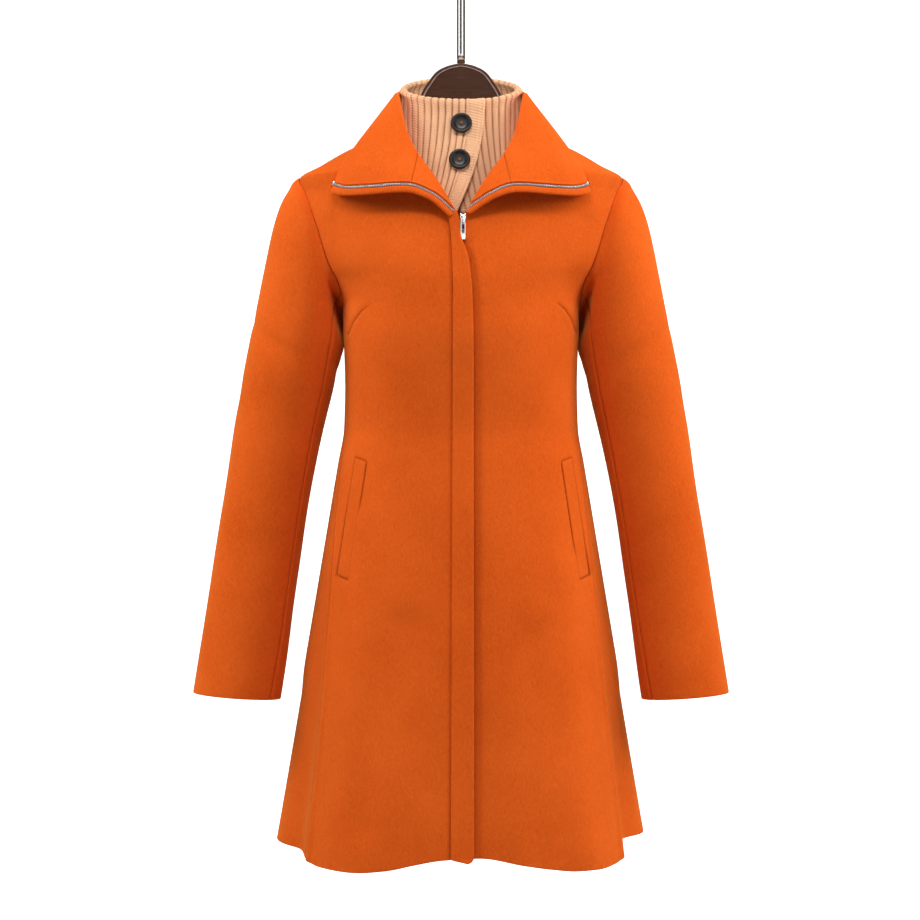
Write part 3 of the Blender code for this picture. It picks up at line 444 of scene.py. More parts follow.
def cashmere(name, dark, light):
    """Napped cloth: soft patches, swirled fibres, a fine fuzz that catches side light, and painted shade."""
    material, tree, shader, place = textured(name)
    swirl = put(tree, "ShaderNodeTexNoise", Vector=place, Scale=55.0, Detail=2.0)
    shift = put(tree, "ShaderNodeVectorMath", {"operation": "MULTIPLY_ADD"}, i0=swirl.outputs["Color"],
                i1=(0.02, 0.02, 0.02), i2=place)
    combed = put(tree, "ShaderNodeMapping", Vector=shift.outputs["Vector"], Scale=(1.0, 1.0, 0.3))
    nap = noise(tree, combed.outputs["Vector"], 560.0, 3.0, Roughness=0.65)
    fuzz, patch = noise(tree, place, 2600.0, 2.0), noise(tree, place, 9.0, 3.0)
    blend = maths(tree, "MULTIPLY_ADD", nap, 0.55, maths(tree, "MULTIPLY", patch, 0.45))
    # Painted shade: the 'seam' attribute mixes the painted shade colour into the cloth's own colour.
    seam = put(tree, "ShaderNodeAttribute", {"attribute_name": "seam"}).outputs["Fac"]
    colour = mixed(tree, seam, two_tone(tree, blend, dark, light, 0.3, 0.7), (*PAINTED_SHADE_COLOUR, 1))
    normal = bumps(tree, maths(tree, "MULTIPLY_ADD", fuzz, 0.5, nap), 0.5, 0.0008)
    feed(tree, shader, Base_Color=colour, Normal=normal, Roughness=0.92, Specular_IOR_Level=0.05,
         Sheen_Weight=0.5, Sheen_Roughness=0.4, Sheen_Tint=(1.0, 0.4, 0.08, 1))
    return material


orange = cashmere("cashmere_orange", (0.60, 0.078, 0.006), (0.83, 0.132, 0.015))

# Bust darts, the line where the placket is sewn and the one where its free edge lies, as distances across
# and down from the shoulder point
DART_RIGHT = [(-133, -248.5), (-126, -235.5), (-116, -223.5), (-103.5, -214.5)]
DART_LEFT = [(136, -246), (129.5, -231), (121, -220.5), (113, -214.5)]
DART_POINT, DART_TAPER = 102.0, 16.0
PLACKET_SEAM = [(-13.8, -118), (-10.8, -150), (-9, -200), (-9.2, -300), (-9.6, -560), (-11.6, -866)]
PLACKET_LIE = [(0.5, -148), (8.8, -166), (12.8, -204), (14.2, -256), (14.6, -866)]
FRONT_COLUMNS, BACK_COLUMNS = 128, 120
# Slanted pocket openings: side, inner and outer edge at the top, inner and outer edge at the bottom
WELT_TOP, WELT_BOTTOM, WELT_SLANT, WELT_SINK = -394.0, -532.0, 5.0, 1.6
WELTS = {"right": (-1, 110, 124, 130, 146), "left": (1, 117, 130, 137, 151)}
# across, down at both ends, spread and height of soft creases on the fronts
FRONT_CREASES = [
    (-150, -120, -128, -205, 12, -1.6), (148, -118, 127, -200, 12, -1.6), (-118, -215, -100, -330, 18, 1.2),
    (116, -210, 96, -330, 18, 1.2), (-60, -330, -64, -470, 26, -1.4), (58, -350, 66, -480, 26, -1.2),
    (-68, -590, -112, -810, 22, -4.0), (-118, -470, -140, -840, 18, 2.0), (82, -600, 96, -850, 20, -3.0),
    (124, -520, 148, -845, 17, 2.4), (-86, -700, -92, -858, 12, 1.2), (90, -690, 99, -858, 13, 1.3),
]


def pressed(face, rows):
    """Height of soft ridges and troughs, each laid along a line in the front view."""
    push = np.zeros(face.shape[:2])
    for x1, z1, x2, z2, spread, height in rows:
        push += height * bell(from_line(face[..., ::2], [(x1, z1), (x2, z2)]), spread)
    return push


def sunk(points, outline_row):
    """How far inside a slanted pocket opening each point of the front is, from 0 to 1."""
    _, inner_top, outer_top, inner_bottom, outer_bottom = outline_row
    share = (points[..., 2] - WELT_TOP) / (WELT_BOTTOM - WELT_TOP)
    inner = inner_top + (inner_bottom - inner_top) * share
    outer = outer_top + (outer_bottom - outer_top) * share
    across = np.abs(points[..., 0])
    below = WELT_TOP + WELT_SLANT * ((across - inner) / (outer - inner) - 1) - points[..., 2]
    return (box_bell(across, inner - 0.2, outer + 0.4, 0.5)
            * box_bell(below, -0.3, WELT_TOP - WELT_BOTTOM + 0.3, 0.6))


def box_bell(distance, start, end, soft):
    return 0.5 * (np.tanh((distance - start) / soft) - np.tanh((distance - end) / soft))


def shoulder_dip(levels, distance):
    """Depth of the soft dip inside the shoulder point, at a distance from the seam."""
    return 1.5 * bell(levels + 54, 12)[:, None] * bell(distance, 40)


SKIRT_TOP, SKIRT_OVER = -430.0, 200.0
TIP_CLEAR, TIP_OVER = 8.0, 40.0
FRONT_START = 4.0
HEM_ROWS = [HEM + 4, HEM + 2.5, HEM + 1.2, HEM]
levels = runs(TOP, (-58, 25), (-82, 44), (-202, 50), (-256, 60), (HEM + 6, 246))
levels = np.concatenate((levels, HEM_ROWS))
for side, word, dart in ((-1, "right", DART_RIGHT), (1, "left", DART_LEFT)):
    start_x = np.where(levels > ZIP_FOOT, neck_edge(levels), FRONT_START)
    start, end = angle_across(start_x, levels), panel_end(levels, True, side)
    share = edged(FRONT_COLUMNS, 0.05, 7)
    angles = side * (start[:, None] + (end - start)[:, None] * share)
    face = body(angles, hang(angles, levels[:, None] + 0 * angles))
    out = -grid_out(face) * side
    _, seam = along_rows(face)
    skirt = growing_down(levels, SKIRT_TOP, SKIRT_OVER)
    below_tip = growing_down(levels, TIP - TIP_CLEAR, TIP_OVER)
    push = below_tip * sewn_in(seam, 0.5) + skirt * (2.6 * bell(seam - 8, 5) - 1.2 * bell(seam, 2.5))
    push = push - shoulder_dip(levels, seam)
    # Painted shade along the shoulder, armhole and side seams, in the darts, in the pocket openings and along
    # the placket's sewn line.
    shade = np.where(levels > ARMPIT, 0.25, 0.4)[:, None] * bell(seam, 1.0)
    tuck = from_line(face[..., ::2], dart)
    taper = np.clip((np.abs(face[..., 0]) - DART_POINT) / DART_TAPER, 0, 1)
    push = push - taper * (0.9 * bell(tuck, 1.4) - 0.4 * bell(tuck - 5, 4))
    shade = np.maximum(shade, 0.55 * taper * bell(tuck, 1.0))
    pocket = sunk(face, WELTS[word])
    push = push - WELT_SINK * pocket
    shade = np.maximum(shade, 0.8 * pocket)
    if side < 0:
        sewn = from_line(face[..., ::2], PLACKET_SEAM)
        push = push - 1.4 * bell(sewn, 1.8)
        shade = np.maximum(shade, 0.65 * bell(sewn, 1.2))
    else:
        # Painted shadow beside the placket's free edge, where it lies over this front.
        beside = from_line(face[..., ::2], PLACKET_LIE)
        push = push - 1.8 * bell(beside - 2, 5)
        shade = np.maximum(shade, 0.4 * bell(beside - 1, 2.6))
    push = push + pressed(face, FRONT_CREASES)
    face = face + push[..., None] * out
    draw_in(face, (-1,), SEAM_GAP / 4)
    front = shell(f"front_{word}_cloth", face, CLOTH, orange, (0.2, 1, 0.5, 0.2), side > 0, shade)
    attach(front, "coat")
    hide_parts(f"front_{word}")

# across, down at both ends, spread and height of soft creases on the back
BACK_CREASES = [
    (-120, -110, -60, -140, 16, -1.5), (118, -120, 64, -146, 16, -1.4), (-70, -300, -84, -520, 24, -1.8),
    (66, -310, 80, -560, 24, -1.6), (4, -330, -6, -620, 26, 1.4), (-130, -600, -150, -845, 15, 1.8),
    (128, -610, 150, -845, 16, 1.6), (-30, -640, -36, -848, 14, -1.6), (42, -660, 50, -848, 14, -1.5),
    (-202, -680, -222, -860, 26, -3.0), (202, -680, 222, -860, 26, -3.0),
]
levels = np.concatenate((runs(TOP, (-58, 20), (-82, 36), (HEM + 6, 255)), HEM_ROWS))
start, end = panel_end(levels, False, 1), 360 - panel_end(levels, False, -1)
share = edged(BACK_COLUMNS, 0.025, 7)
angles = start[:, None] + (end - start)[:, None] * share
angles = (angles + 180) % 360 - 180
face = body(angles, hang(angles, levels[:, None] + 0 * angles))
near, far = along_rows(face)
ends = np.minimum(near, far)
below_tip = growing_down(levels, TIP - TIP_CLEAR, TIP_OVER)
push = pressed(face, BACK_CREASES) + below_tip * sewn_in(ends, 0.5) - shoulder_dip(levels, ends)
face = face - push[..., None] * grid_out(face)
draw_in(face, (0, -1), SEAM_GAP / 4)
skirt = growing_down(levels, SKIRT_TOP, SKIRT_OVER)
# Painted shade along the seams, and a wide band of painted shade over the skirt's side panels.
shade = np.maximum(0.3 * bell(ends, 0.9), 0.2 * skirt * bell(ends, 28))
back = shell("back_cloth", face, CLOTH, orange, (0.2, 1, 0.2, 0.2), True, shade)
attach(back, "coat")
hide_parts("back")

# Sleeves: each a wide top piece and a narrow under piece of the same cloth, sewn together along
# the arm and set into the armhole with a little fullness at the head.
# outer x and z, inner x and z, middle y and depth of each ring
SLEEVE = [
    (203, -70, 145, -221, 3, 53), (213, -87, 145.5, -227, 3, 55), (221, -110, 146, -234, 3, 57),
    (229, -140, 146, -243, 3, 58), (238, -180, 146, -256, 3, 58), (247, -224, 147, -273, 2, 58),
    (256, -268, 149, -294, 1, 57), (270, -345, 162, -364, -1, 54), (285.6, -455, 180.5, -472, -7, 50),
    (301, -556, 196, -573, -14, 47), (319, -673, 214.5, -681, -23, 46),
]
SLEEVE_FRONT_SEAM, SLEEVE_BACK_SEAM, SEAM_ALLOWANCE = 142.8, 273.0, 3.0
ARMPIT_FOLD, FOLD_EDGE, FOLD_BACK, FOLD_BACK_OVER, FOLD_RING = 28.0, 24.0, 250.0, 60.0, 1.2
# ring, turn of the line where the top of the sleeve folds in at the armpit
ARMPIT_LINE = [(0, 104), (1, 120), (3.7, 140), (5.8, 176), (7.2, 215)]
# turn round the arm, ring, spread in turn and ring, height of soft creases
SLEEVE_CREASES = [
    (60, 6.6, 60, 0.22, -1.4), (150, 6.4, 40, 0.6, -1.0), (100, 7.4, 50, 0.3, 1.2),
    (20, 7.9, 34, 0.26, -1.0), (210, 7.2, 46, 0.24, -1.6), (290, 6.8, 50, 0.3, 1.2),
    (120, 8.8, 40, 0.4, -1.1), (330, 8.4, 40, 0.4, -1.0), (180, 3.0, 30, 1.3, 4.2),
    (180, 5.3, 32, 1.5, 5.0), (180, 8.7, 46, 1.1, -6.0), (180, 10.0, 46, 0.6, -3.0),
    (40, 9.6, 50, 0.5, 0.9), (250, 9.4, 44, 0.4, -1.0), (0, 3.0, 40, 1.6, 2.0),
    (180, 1.1, 34, 0.9, 5.0), (112, 5.0, 18, 2.2, 2.5),
]
# how far an arm's creases are turned and moved from the table, and their slant in rings to a degree
CREASE_TURN, CREASE_RING, CREASE_SLANT = 8.0, 0.12, 0.006


def spline(points):
    """Curve through points, one unit of its parameter to each span."""
    points = np.asarray(points, float)
    ends = np.concatenate((2 * points[:1] - points[1:2], points, 2 * points[-1:] - points[-2:-1]))

    def at(place):
        place = np.asarray(place, float)
        i = np.clip(np.floor(place).astype(int), 0, len(points) - 2)
        f = (place - i).reshape(place.shape + (1,) * (points.ndim - 1))
        before, here, after, beyond = (ends[i + k] for k in range(4))
        bow = 2 * before - 5 * here + 4 * after - beyond
        twist = 3 * (here - after) + beyond - before
        return here + 0.5 * f * (after - before + f * (bow + f * twist))

    return at


def sleeve(turn, ring):
    """Grid of points on the wearer's left sleeve; ring 0 is the armhole seam."""
    lean = np.cos(np.radians(turn))
    level = (TIP + ARMPIT) / 2 + (TIP - ARMPIT) / 2 * lean
    level_in = np.minimum(level, TIP - 1e-6)
    angle = np.where(turn % 360 < 180, panel_end(level_in, True), panel_end(level_in, False))
    rings = [body(angle, level)]
    for outer_x, outer_z, inner_x, inner_z, middle_y, depth in SLEEVE:
        x = (outer_x + inner_x) / 2 + (outer_x - inner_x) / 2 * lean
        z = (outer_z + inner_z) / 2 + (outer_z - inner_z) / 2 * lean
        rings.append(np.stack((x, middle_y - depth * np.sin(np.radians(turn)), z), -1))
    return spline(np.array(rings))(ring)


armpit_line = through(ARMPIT_LINE, 1)
rings = np.concatenate((np.linspace(0, 1, 14) ** 1.4, runs(1, (7, 70), (10.97, 96))[1:], [10.98, 10.99, 11]))
for side, word in ((-1, "right"), (1, "left")):
    for name, first, last, count, width in (
            ("top", SLEEVE_BACK_SEAM - 360, SLEEVE_FRONT_SEAM, 96, 0.25),
            ("under", SLEEVE_FRONT_SEAM, SLEEVE_BACK_SEAM, 36, 0.15)):
        turn = first + (last - first) * edged(count, 0.04, 6)
        face = sleeve(turn, rings)
        near, far = along_rows(face)
        down = np.linalg.norm(np.diff(face, axis=0), axis=-1)
        down = np.concatenate((np.zeros((1, len(turn))), np.cumsum(down, axis=0)))
        ends = np.minimum(near, far)
        head = np.clip(np.cos(np.radians(turn)), 0, 1)
        push = sewn_in(ends, 0.9) - 0.5 * (1 - head) * bell(down, 1.9)
        # Painted shade along the sleeve seams and the armhole seam.
        shade = np.maximum(0.5 * bell(ends, 0.9), 0.25 * bell(down, 0.9))
        push = push + 2.0 * head * bell(down - 7, 9)
        for at_turn, at_ring, spread, reach, height in SLEEVE_CREASES:
            away = (turn - at_turn - side * CREASE_TURN + 180) % 360 - 180
            slant = rings[:, None] - at_ring - CREASE_RING * side - CREASE_SLANT * away
            push = push + height * bell(away, spread) * bell(slant, reach)
        face = face + push[..., None] * grid_out(face)
        inside = np.clip((turn - armpit_line(rings)[:, None]) / FOLD_EDGE, 0, 1)
        inside = inside * np.clip((FOLD_BACK - turn) / FOLD_BACK_OVER, 0, 1)
        inside = inside * np.clip(rings / FOLD_RING, 0, 1)[:, None]
        face[..., 1] += ARMPIT_FOLD * inside ** 2 * (3 - 2 * inside)
        draw_in(face.swapaxes(0, 1), (0,), SEAM_GAP / 4)
        tucked = face[:1] - SEAM_ALLOWANCE * unit(face[1:2] - face[:1])
        tucked = tucked - (CLOTH + LAY_GAP) * grid_out(face)[:1]
        # The tucked seam allowance gets full painted shade, seen as shade through the seam's gap.
        face, shade = np.concatenate((tucked, face)), np.concatenate((np.ones((1, len(turn))), shade))
        draw_in(face, (0, -1), SEAM_GAP / 2)
        face = face * (side, 1, 1)
        piece = shell(f"sleeve_{word}_{name}_cloth", face, CLOTH, orange, (0.2, 1, 0.2, 0.2), side < 0, shade)
        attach(piece, "coat")
        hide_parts(f"sleeve_{word}_{name}")

# Collar and lapels: the collar is one folded piece from seam to seam, and each lapel is the turned-out
# edge of a front, joined to it by a slanting seam. A zip is set into their edge behind a narrow lip.
COLLAR_CLOTH = 2.0
NECK_GAP = 0.5
# roll line, outer edge, neck seam, fold radius, fullness of the fall, from the lapel's foot to the centre
# back; the seam is given by its level, and past the shoulder by its angle
COLLAR = [
    ((5.5, -111.5, -109), (14, -113.5, -115), ZIP_FOOT, 3.2, 0.34),
    ((18, -107.5, -87), (31, -116, -99), -87, 3.8, 0.34),
    ((29.5, -103, -68), (46, -118, -91.5), -68, 4.4, 0.34),
    ((50, -90, -38.5), (60, -117.8, -87.3), -39, 5, 0.34),
    ((61, -78, -15), (80, -115, -87), -19, 5.5, 0.34),
    ((68, -60, 14), (109, -106, -88.5), -7, 5.5, 0.34),
    ((71.5, -43, 34), (137, -89, -88), TOP, 5.5, 0.34),
    ((73, -30, 39), (154, -74, -83), 76, 5, 0.34),
    ((73.5, -18, 41), (146, -69, -57), 84, 4.5, 0.05),
    ((71.5, -5, 42), (134, -50, -36), 92, 4, -0.1),
    ((70.5, 10, 44.5), (123, 0, -17.5), 102, 4, -0.12),
    ((67, 31, 50), (118, 47, -22), 121, 4, 0.08),
    ((51, 52, 54), (92, 82, -31), 140, 4.5, 0.2),
    ((27, 65, 57), (49, 100, -37), 160, 5, 0.3),
    ((0, 70, 58), (0, 105, -40), 180, 5.5, 0.34),
]
LAST, COLLAR_SEAM, COLLAR_SHOULDER, COLLAR_CORNER = 14, 3, 6, 7
STAND_SHARE, FOLD_SHARE = 0.3, 0.5
LEFT_LAPEL_FOOT = (-3.6, 1.0, 3.0)
CORNER_ROUND, CORNER_REACH = 3.5, 0.26
EDGE_STRIP, RECESS_END, LIP_PLACE, EDGE_REACH = 7.2, 11.0, 12.5, 17.0
RECESS_DEPTH = 1.7
TROUGH_FIRST, TROUGH_LAST, TROUGH_START, TROUGH_STOP = -0.4, 6.94, 0.5, 0.12
STITCHES, STITCH_PLACE = 8, 3.8
FAR_FROM_EDGE = 99.0


def mirrored(points):
    """Half a row of stations, mirrored to run from the wearer's right to the left."""
    points = np.array(points, float)
    return np.concatenate((points[:-1] * (-1, 1, 1), points[::-1]))


roll_line = spline(mirrored([row[0] for row in COLLAR]))
edge_front = spline([row[1] for row in COLLAR[:COLLAR_CORNER + 1]])
edge_back = spline(mirrored([row[1] for row in COLLAR[COLLAR_CORNER:]]))
neck_level = spline([row[2] for row in COLLAR[:COLLAR_SHOULDER + 1]])
neck_angle = spline([angle_across(neck_edge(TOP), TOP)] + [row[2] for row in COLLAR[COLLAR_SHOULDER + 1:]])
fold_size, fullness = spline([row[3] for row in COLLAR]), spline([row[4] for row in COLLAR])


def collar(place, share):
    """Grid on the collar's face, from stand to roll to fall; place 0 is the centre back."""
    station, side = LAST - np.abs(place), np.where(place < 0, -1, 1)
    mirror = np.stack((side, np.ones_like(side), np.ones_like(side)), -1)
    in_front = station <= COLLAR_SHOULDER
    level = np.where(in_front, neck_level(np.minimum(station, COLLAR_SHOULDER)), TOP)
    angle = np.where(in_front, angle_across(neck_edge(level), level),
                     neck_angle(np.maximum(station - COLLAR_SHOULDER, 0)))
    neck = (body(angle, level) + NECK_GAP * body_out(angle, level)) * mirror
    roll = roll_line(place + LAST)
    before = edge_front(np.minimum(station, COLLAR_CORNER)) * mirror
    beyond = edge_back(np.clip(place + LAST - COLLAR_CORNER, 0, 2 * (LAST - COLLAR_CORNER)))
    edge = np.where((station < COLLAR_CORNER)[:, None], before, beyond)
    foot = np.where(side > 0, np.clip(1 - station, 0, 1), 0)[:, None]
    edge = edge + foot * np.array(LEFT_LAPEL_FOOT)
    near = np.clip(1 - np.abs(station - COLLAR_CORNER) / CORNER_REACH, 0, 1)[:, None]
    edge = edge + CORNER_ROUND * near ** 2 * unit(roll - edge)
    fold = fold_size(station)[:, None]
    up = unit(roll - neck)
    out = unit((edge - roll) - dot(edge - roll, up) * up)
    start = roll - fold * up
    middle = start + fold * out
    toward = unit(edge - middle)
    turn = np.arctan2(dot(toward, out), dot(toward, up))
    away = up * np.sin(turn) - out * np.cos(turn)
    begin = middle + fold * away
    drop = edge - begin
    full = fullness(station)[:, None, None]
    neck, start, middle, fold, up, out, turn, away, begin, drop = (
        part[:, None] for part in (neck, start, middle, fold, up, out, turn, away, begin, drop))
    share = share[..., None]
    bend = turn * (share - STAND_SHARE) / (FOLD_SHARE - STAND_SHARE)
    fall = np.clip((share - FOLD_SHARE) / (1 - FOLD_SHARE), 0, 1)
    bulge = full * np.linalg.norm(drop, axis=-1, keepdims=True) * fall ** 2 * (1 - fall)
    rolled = middle + fold * (up * np.sin(bend) - out * np.cos(bend))
    fallen = begin + drop * fall + bulge * away
    stood = neck + (start - neck) * share / STAND_SHARE
    return np.where(share <= STAND_SHARE, stood, np.where(share <= FOLD_SHARE, rolled, fallen))


def fall_length(place):
    ends = collar(place, np.tile((FOLD_SHARE, 1.0), (len(place), 1)))
    return np.linalg.norm(ends[:, 1] - ends[:, 0], axis=-1)


def from_edge(place, distance):
    """Share of the way round the collar at a distance from its outer edge."""
    return 1 - (1 - FOLD_SHARE) * distance / fall_length(place)[:, None]


def zip_presence(place):
    """How far the zip's trough is there, from the lapel's foot to the collar's corner."""
    station = LAST - np.abs(place)
    begun = np.clip((station - TROUGH_FIRST) / TROUGH_START, 0, 1)
    return begun * np.clip((TROUGH_LAST - station) / TROUGH_STOP, 0, 1)


# place, distance from the edge, spread of both, height of soft waves on the fall of the collar
COLLAR_WAVES = [
    (-9.6, 34, 0.5, 22, -1.2), (-8.3, 40, 0.4, 26, 1.3), (9.3, 36, 0.5, 24, -1.1), (8.2, 44, 0.4, 26, 1.2),
    (-10.5, 50, 0.4, 22, 1.0), (10.6, 46, 0.4, 20, 1.0), (-5.1, 40, 0.9, 34, -4.0), (-1.5, 44, 0.9, 30, -1.4),
    (2.2, 42, 0.9, 28, 1.5), (5.1, 40, 0.9, 34, -4.0), (-12.6, 20, 0.5, 12, 0.7), (12.5, 18, 0.5, 12, 0.7),
]


def collar_face(place):
    """Grid of the collar with its edge strip, the trough that holds the zip, and the lip above it."""
    length = fall_length(place)[:, None]
    reach = np.minimum(EDGE_REACH, 0.8 * length)
    edge_part = np.linspace(1, 0, 22) * reach
    fall_part = reach + (length - reach) * np.linspace(1, 0, 30)[:-1]
    away = np.concatenate((fall_part, edge_part), axis=1)
    fixed = runs(0, (STAND_SHARE, 11), (FOLD_SHARE, 13))[:-1]
    share = np.concatenate((np.tile(fixed, (len(place), 1)), from_edge(place, away)), axis=1)
    face = collar(place, share)
    away = np.concatenate((np.tile(FAR_FROM_EDGE, (len(place), len(fixed))), away), axis=1)
    station = LAST - np.abs(place)[:, None]
    stitch = 1 + 0.5 * np.sin(2 * pi * station * STITCHES)
    edge = 0.8 * np.sin(pi * np.clip(away / EDGE_STRIP, 0, 1)) - 0.4 * stitch * bell(away - STITCH_PLACE, 0.8)
    edge = edge - RECESS_DEPTH * box_bell(away, EDGE_STRIP, RECESS_END, 0.5)
    edge = edge + 1.1 * bell(away - LIP_PLACE, 1.3)
    push = edge * zip_presence(place)[:, None]
    joint = bell((station - COLLAR_SEAM) * 24, 1.1) * (share > STAND_SHARE) * np.clip((away - 11) / 3, 0, 1)
    push = push - 0.7 * joint
    for at, distance, spread, reach, height in COLLAR_WAVES:
        push = push + height * bell(place[:, None] - at, spread) * bell(away - distance, reach)
    # The joint also comes back as painted shade along the seam between collar and lapel.
    return face - push[..., None] * grid_out(face), 0.4 * joint ** 2


seam = LAST - COLLAR_SEAM
corner = LAST - COLLAR_CORNER
SEAM_ROWS, SEAM_CLOSE, CORNER_CLOSE = np.array((0, 0.015, 0.03, 0.045)), 0.06, 0.4
half_rows = runs(0, (corner - CORNER_CLOSE, 66), (corner + CORNER_CLOSE, 36), (seam - SEAM_CLOSE, 88))
half_rows = np.concatenate((half_rows, seam - SEAM_ROWS[::-1]))
collar_rows = np.concatenate((-half_rows[:0:-1], half_rows))
lapel_rows = np.concatenate((seam + SEAM_ROWS, np.linspace(seam + SEAM_CLOSE, LAST, 76)))
for name, rows, flat, bulge in (
        ("collar", collar_rows, (0.7, 0.2), (0.2, 0.2, 0.3, 1)),
        ("lapel_right", -lapel_rows[::-1], (0.1, 0.07), (1, 0.2, 0.3, 1)),
        ("lapel_left", lapel_rows, (0.1, 0.07), (0.2, 1, 0.3, 1))):
    face, shade = collar_face(rows)
    draw_in(face.swapaxes(0, 1), (0, -1), SEAM_GAP / 5)
    piece = shell(f"{name}_cloth", face, COLLAR_CLOTH, orange, bulge, True, shade)
    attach(piece, "coat")
    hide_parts(name)

# Zip: a metal one, closed down the front under the placket and open along the lapel and collar edges.
# Its teeth are clamped on a woven tape, and an end stop sits at each collar corner.
TOOTH_PITCH, TOOTH_ACROSS, TOOTH_ALONG, TOOTH_HIGH = 2.1, 3.6, 1.25, 1.5
ZIP_FIRST, ZIP_LAST, ZIP_MIDDLE = 0.0, 6.86, 9.1
ZIP_ROWS, CHAIN_ROWS = 300, 260
TAPE_HALF, TAPE_THICK, TAPE_LIFT = 2.0, 0.5, 0.12
STOP_SIZE, STOP_BEYOND = (3.4, 5.0, 2.6), 2.4
CHAIN_TOP, CHAIN_SHORT, CHAIN_HALF = -119.0, 8.0, 3.4
CHAIN_TOOTH, CHAIN_TOOTH_SHIFT, CHAIN_DEPTH, CHAIN_TAPE_DEPTH = (0.95, 3.4, 1.4), 0.9, 0.75, 1.0


def metal(name, colour, roughness, grain):
    """Metal with faint fine wear in its shine."""
    material, tree, shader, place = textured(name)
    wear = noise(tree, place, grain, 4.0)
    shine = put(tree, "ShaderNodeMapRange", Value=wear, From_Min=0.3, From_Max=0.7,
                To_Min=roughness * 0.7, To_Max=roughness * 1.4)
    tint = mixed(tree, wear, (*(0.86 * part for part in colour), 1), (*colour, 1))
    feed(tree, shader, Base_Color=tint, Roughness=shine.outputs["Result"],
         Normal=bumps(tree, wear, 0.05, 0.0002), Metallic=1.0)
    return material


def yarn(name, colour, dark, scale, distortion, roughness, relief):
    """Yarns side by side on the slant, as in close tape or twisted thread; dark is the share of the colour
    left in the grooves between yarns, as painted shade.
    """
    material, tree, shader, place = textured(name)
    weave = put(tree, "ShaderNodeTexWave", {"bands_direction": "DIAGONAL"}, Vector=place, Scale=scale,
                Distortion=distortion).outputs["Fac"]
    colour = two_tone(tree, weave, [dark * part for part in colour], colour)
    feed(tree, shader, Base_Color=colour, Roughness=roughness)
    if relief:
        feed(tree, shader, Normal=bumps(tree, weave, relief, 0.0002))
    return material


zip_silver = metal("zip_silver", (0.74, 0.74, 0.76), 0.3, 1400.0)
polished = metal("polished_chrome", (0.9, 0.9, 0.92), 0.1, 300.0)
zip_tape = yarn("zip_tape", (0.19, 0.055, 0.02), 0.6, 900.0, 1.0, 0.85, 0.4)


def repeat_tree(name):
    """Node tree that sets a small rounded block on every point, turned along and out of the surface."""
    tree = bpy.data.node_groups.new(name, "GeometryNodeTree")
    tree.interface.new_socket("Points", in_out="INPUT", socket_type="NodeSocketGeometry")
    tree.interface.new_socket("Size", in_out="INPUT", socket_type="NodeSocketVector")
    tree.interface.new_socket("Finish", in_out="INPUT", socket_type="NodeSocketMaterial")
    tree.interface.new_socket("Result", in_out="OUTPUT", socket_type="NodeSocketGeometry")
    entry = tree.nodes.new("NodeGroupInput")
    block = put(tree, "GeometryNodeMeshCube", Size=entry.outputs["Size"])
    soft = put(tree, "GeometryNodeSubdivisionSurface", Mesh=block.outputs["Mesh"], Level=1, Edge_Crease=0.55)
    turn = None
    for axis, pivot, attribute in (("X", "AUTO", "along"), ("Z", "X", "out")):
        heading = put(tree, "GeometryNodeInputNamedAttribute", {"data_type": "FLOAT_VECTOR"}, Name=attribute)
        align = put(tree, "FunctionNodeAlignRotationToVector", {"axis": axis, "pivot_axis": pivot},
                    Vector=heading.outputs["Attribute"])
        if turn is not None:
            tree.links.new(turn, align.inputs["Rotation"])
        turn = align.outputs["Rotation"]
    placed = put(tree, "GeometryNodeInstanceOnPoints", Points=entry.outputs["Points"],
                 Instance=soft.outputs["Mesh"], Rotation=turn)
    real = put(tree, "GeometryNodeRealizeInstances", Geometry=placed.outputs["Instances"])
    painted = put(tree, "GeometryNodeSetMaterial", Geometry=real.outputs["Geometry"],
                  Material=entry.outputs["Finish"])
    leave = tree.nodes.new("NodeGroupOutput")
    tree.links.new(painted.outputs["Geometry"], leave.inputs["Result"])
    return tree


blocks = repeat_tree("set_blocks")


def set_blocks(name, points, along, out, size, finish):
    """Row of small blocks on points in millimetres, as one plain mesh."""
    mesh = bpy.data.meshes.new(name)
    mesh.from_pydata((points + (0, 0, -HANG_DROP)) * MM, [], [])
    for attribute, vectors in (("along", along), ("out", out)):
        layer = mesh.attributes.new(attribute, "FLOAT_VECTOR", "POINT")
        layer.data.foreach_set("vector", np.asarray(vectors, np.float32).ravel())
    holder = add(name, mesh)
    modifier = holder.modifiers.new("set", "NODES")
    modifier.node_group = blocks
    sockets = {item.name: item.identifier for item in blocks.interface.items_tree if item.in_out == "INPUT"}
    modifier[sockets["Size"]] = tuple(part * MM for part in size)
    modifier[sockets["Finish"]] = finish
    graph = bpy.context.evaluated_depsgraph_get()
    real = bpy.data.meshes.new_from_object(holder.evaluated_get(graph))
    holder.modifiers.remove(modifier)
    holder.data = real
    bpy.data.meshes.remove(mesh)
    real.shade_smooth()
    return holder


def evenly(line, out, pitch):
    """Points at an even pitch along a line, with its heading and the surface's way out there."""
    lengths = np.concatenate(([0], np.cumsum(np.linalg.norm(np.diff(line, axis=0), axis=1))))
    spots = np.arange(pitch / 2, lengths[-1], pitch)
    points, heading, raised = (
        np.stack([np.interp(spots, lengths, part) for part in vectors.T], -1)
        for vectors in (line, np.gradient(line, axis=0), out))
    return points, unit(heading), unit(raised)


def join(name, parts):
    """One piece from several, keeping their materials."""
    first = parts[0]
    with bpy.context.temp_override(active_object=first, selected_editable_objects=parts):
        bpy.ops.object.join()
    first.name = name
    first.data.name = name
    return first


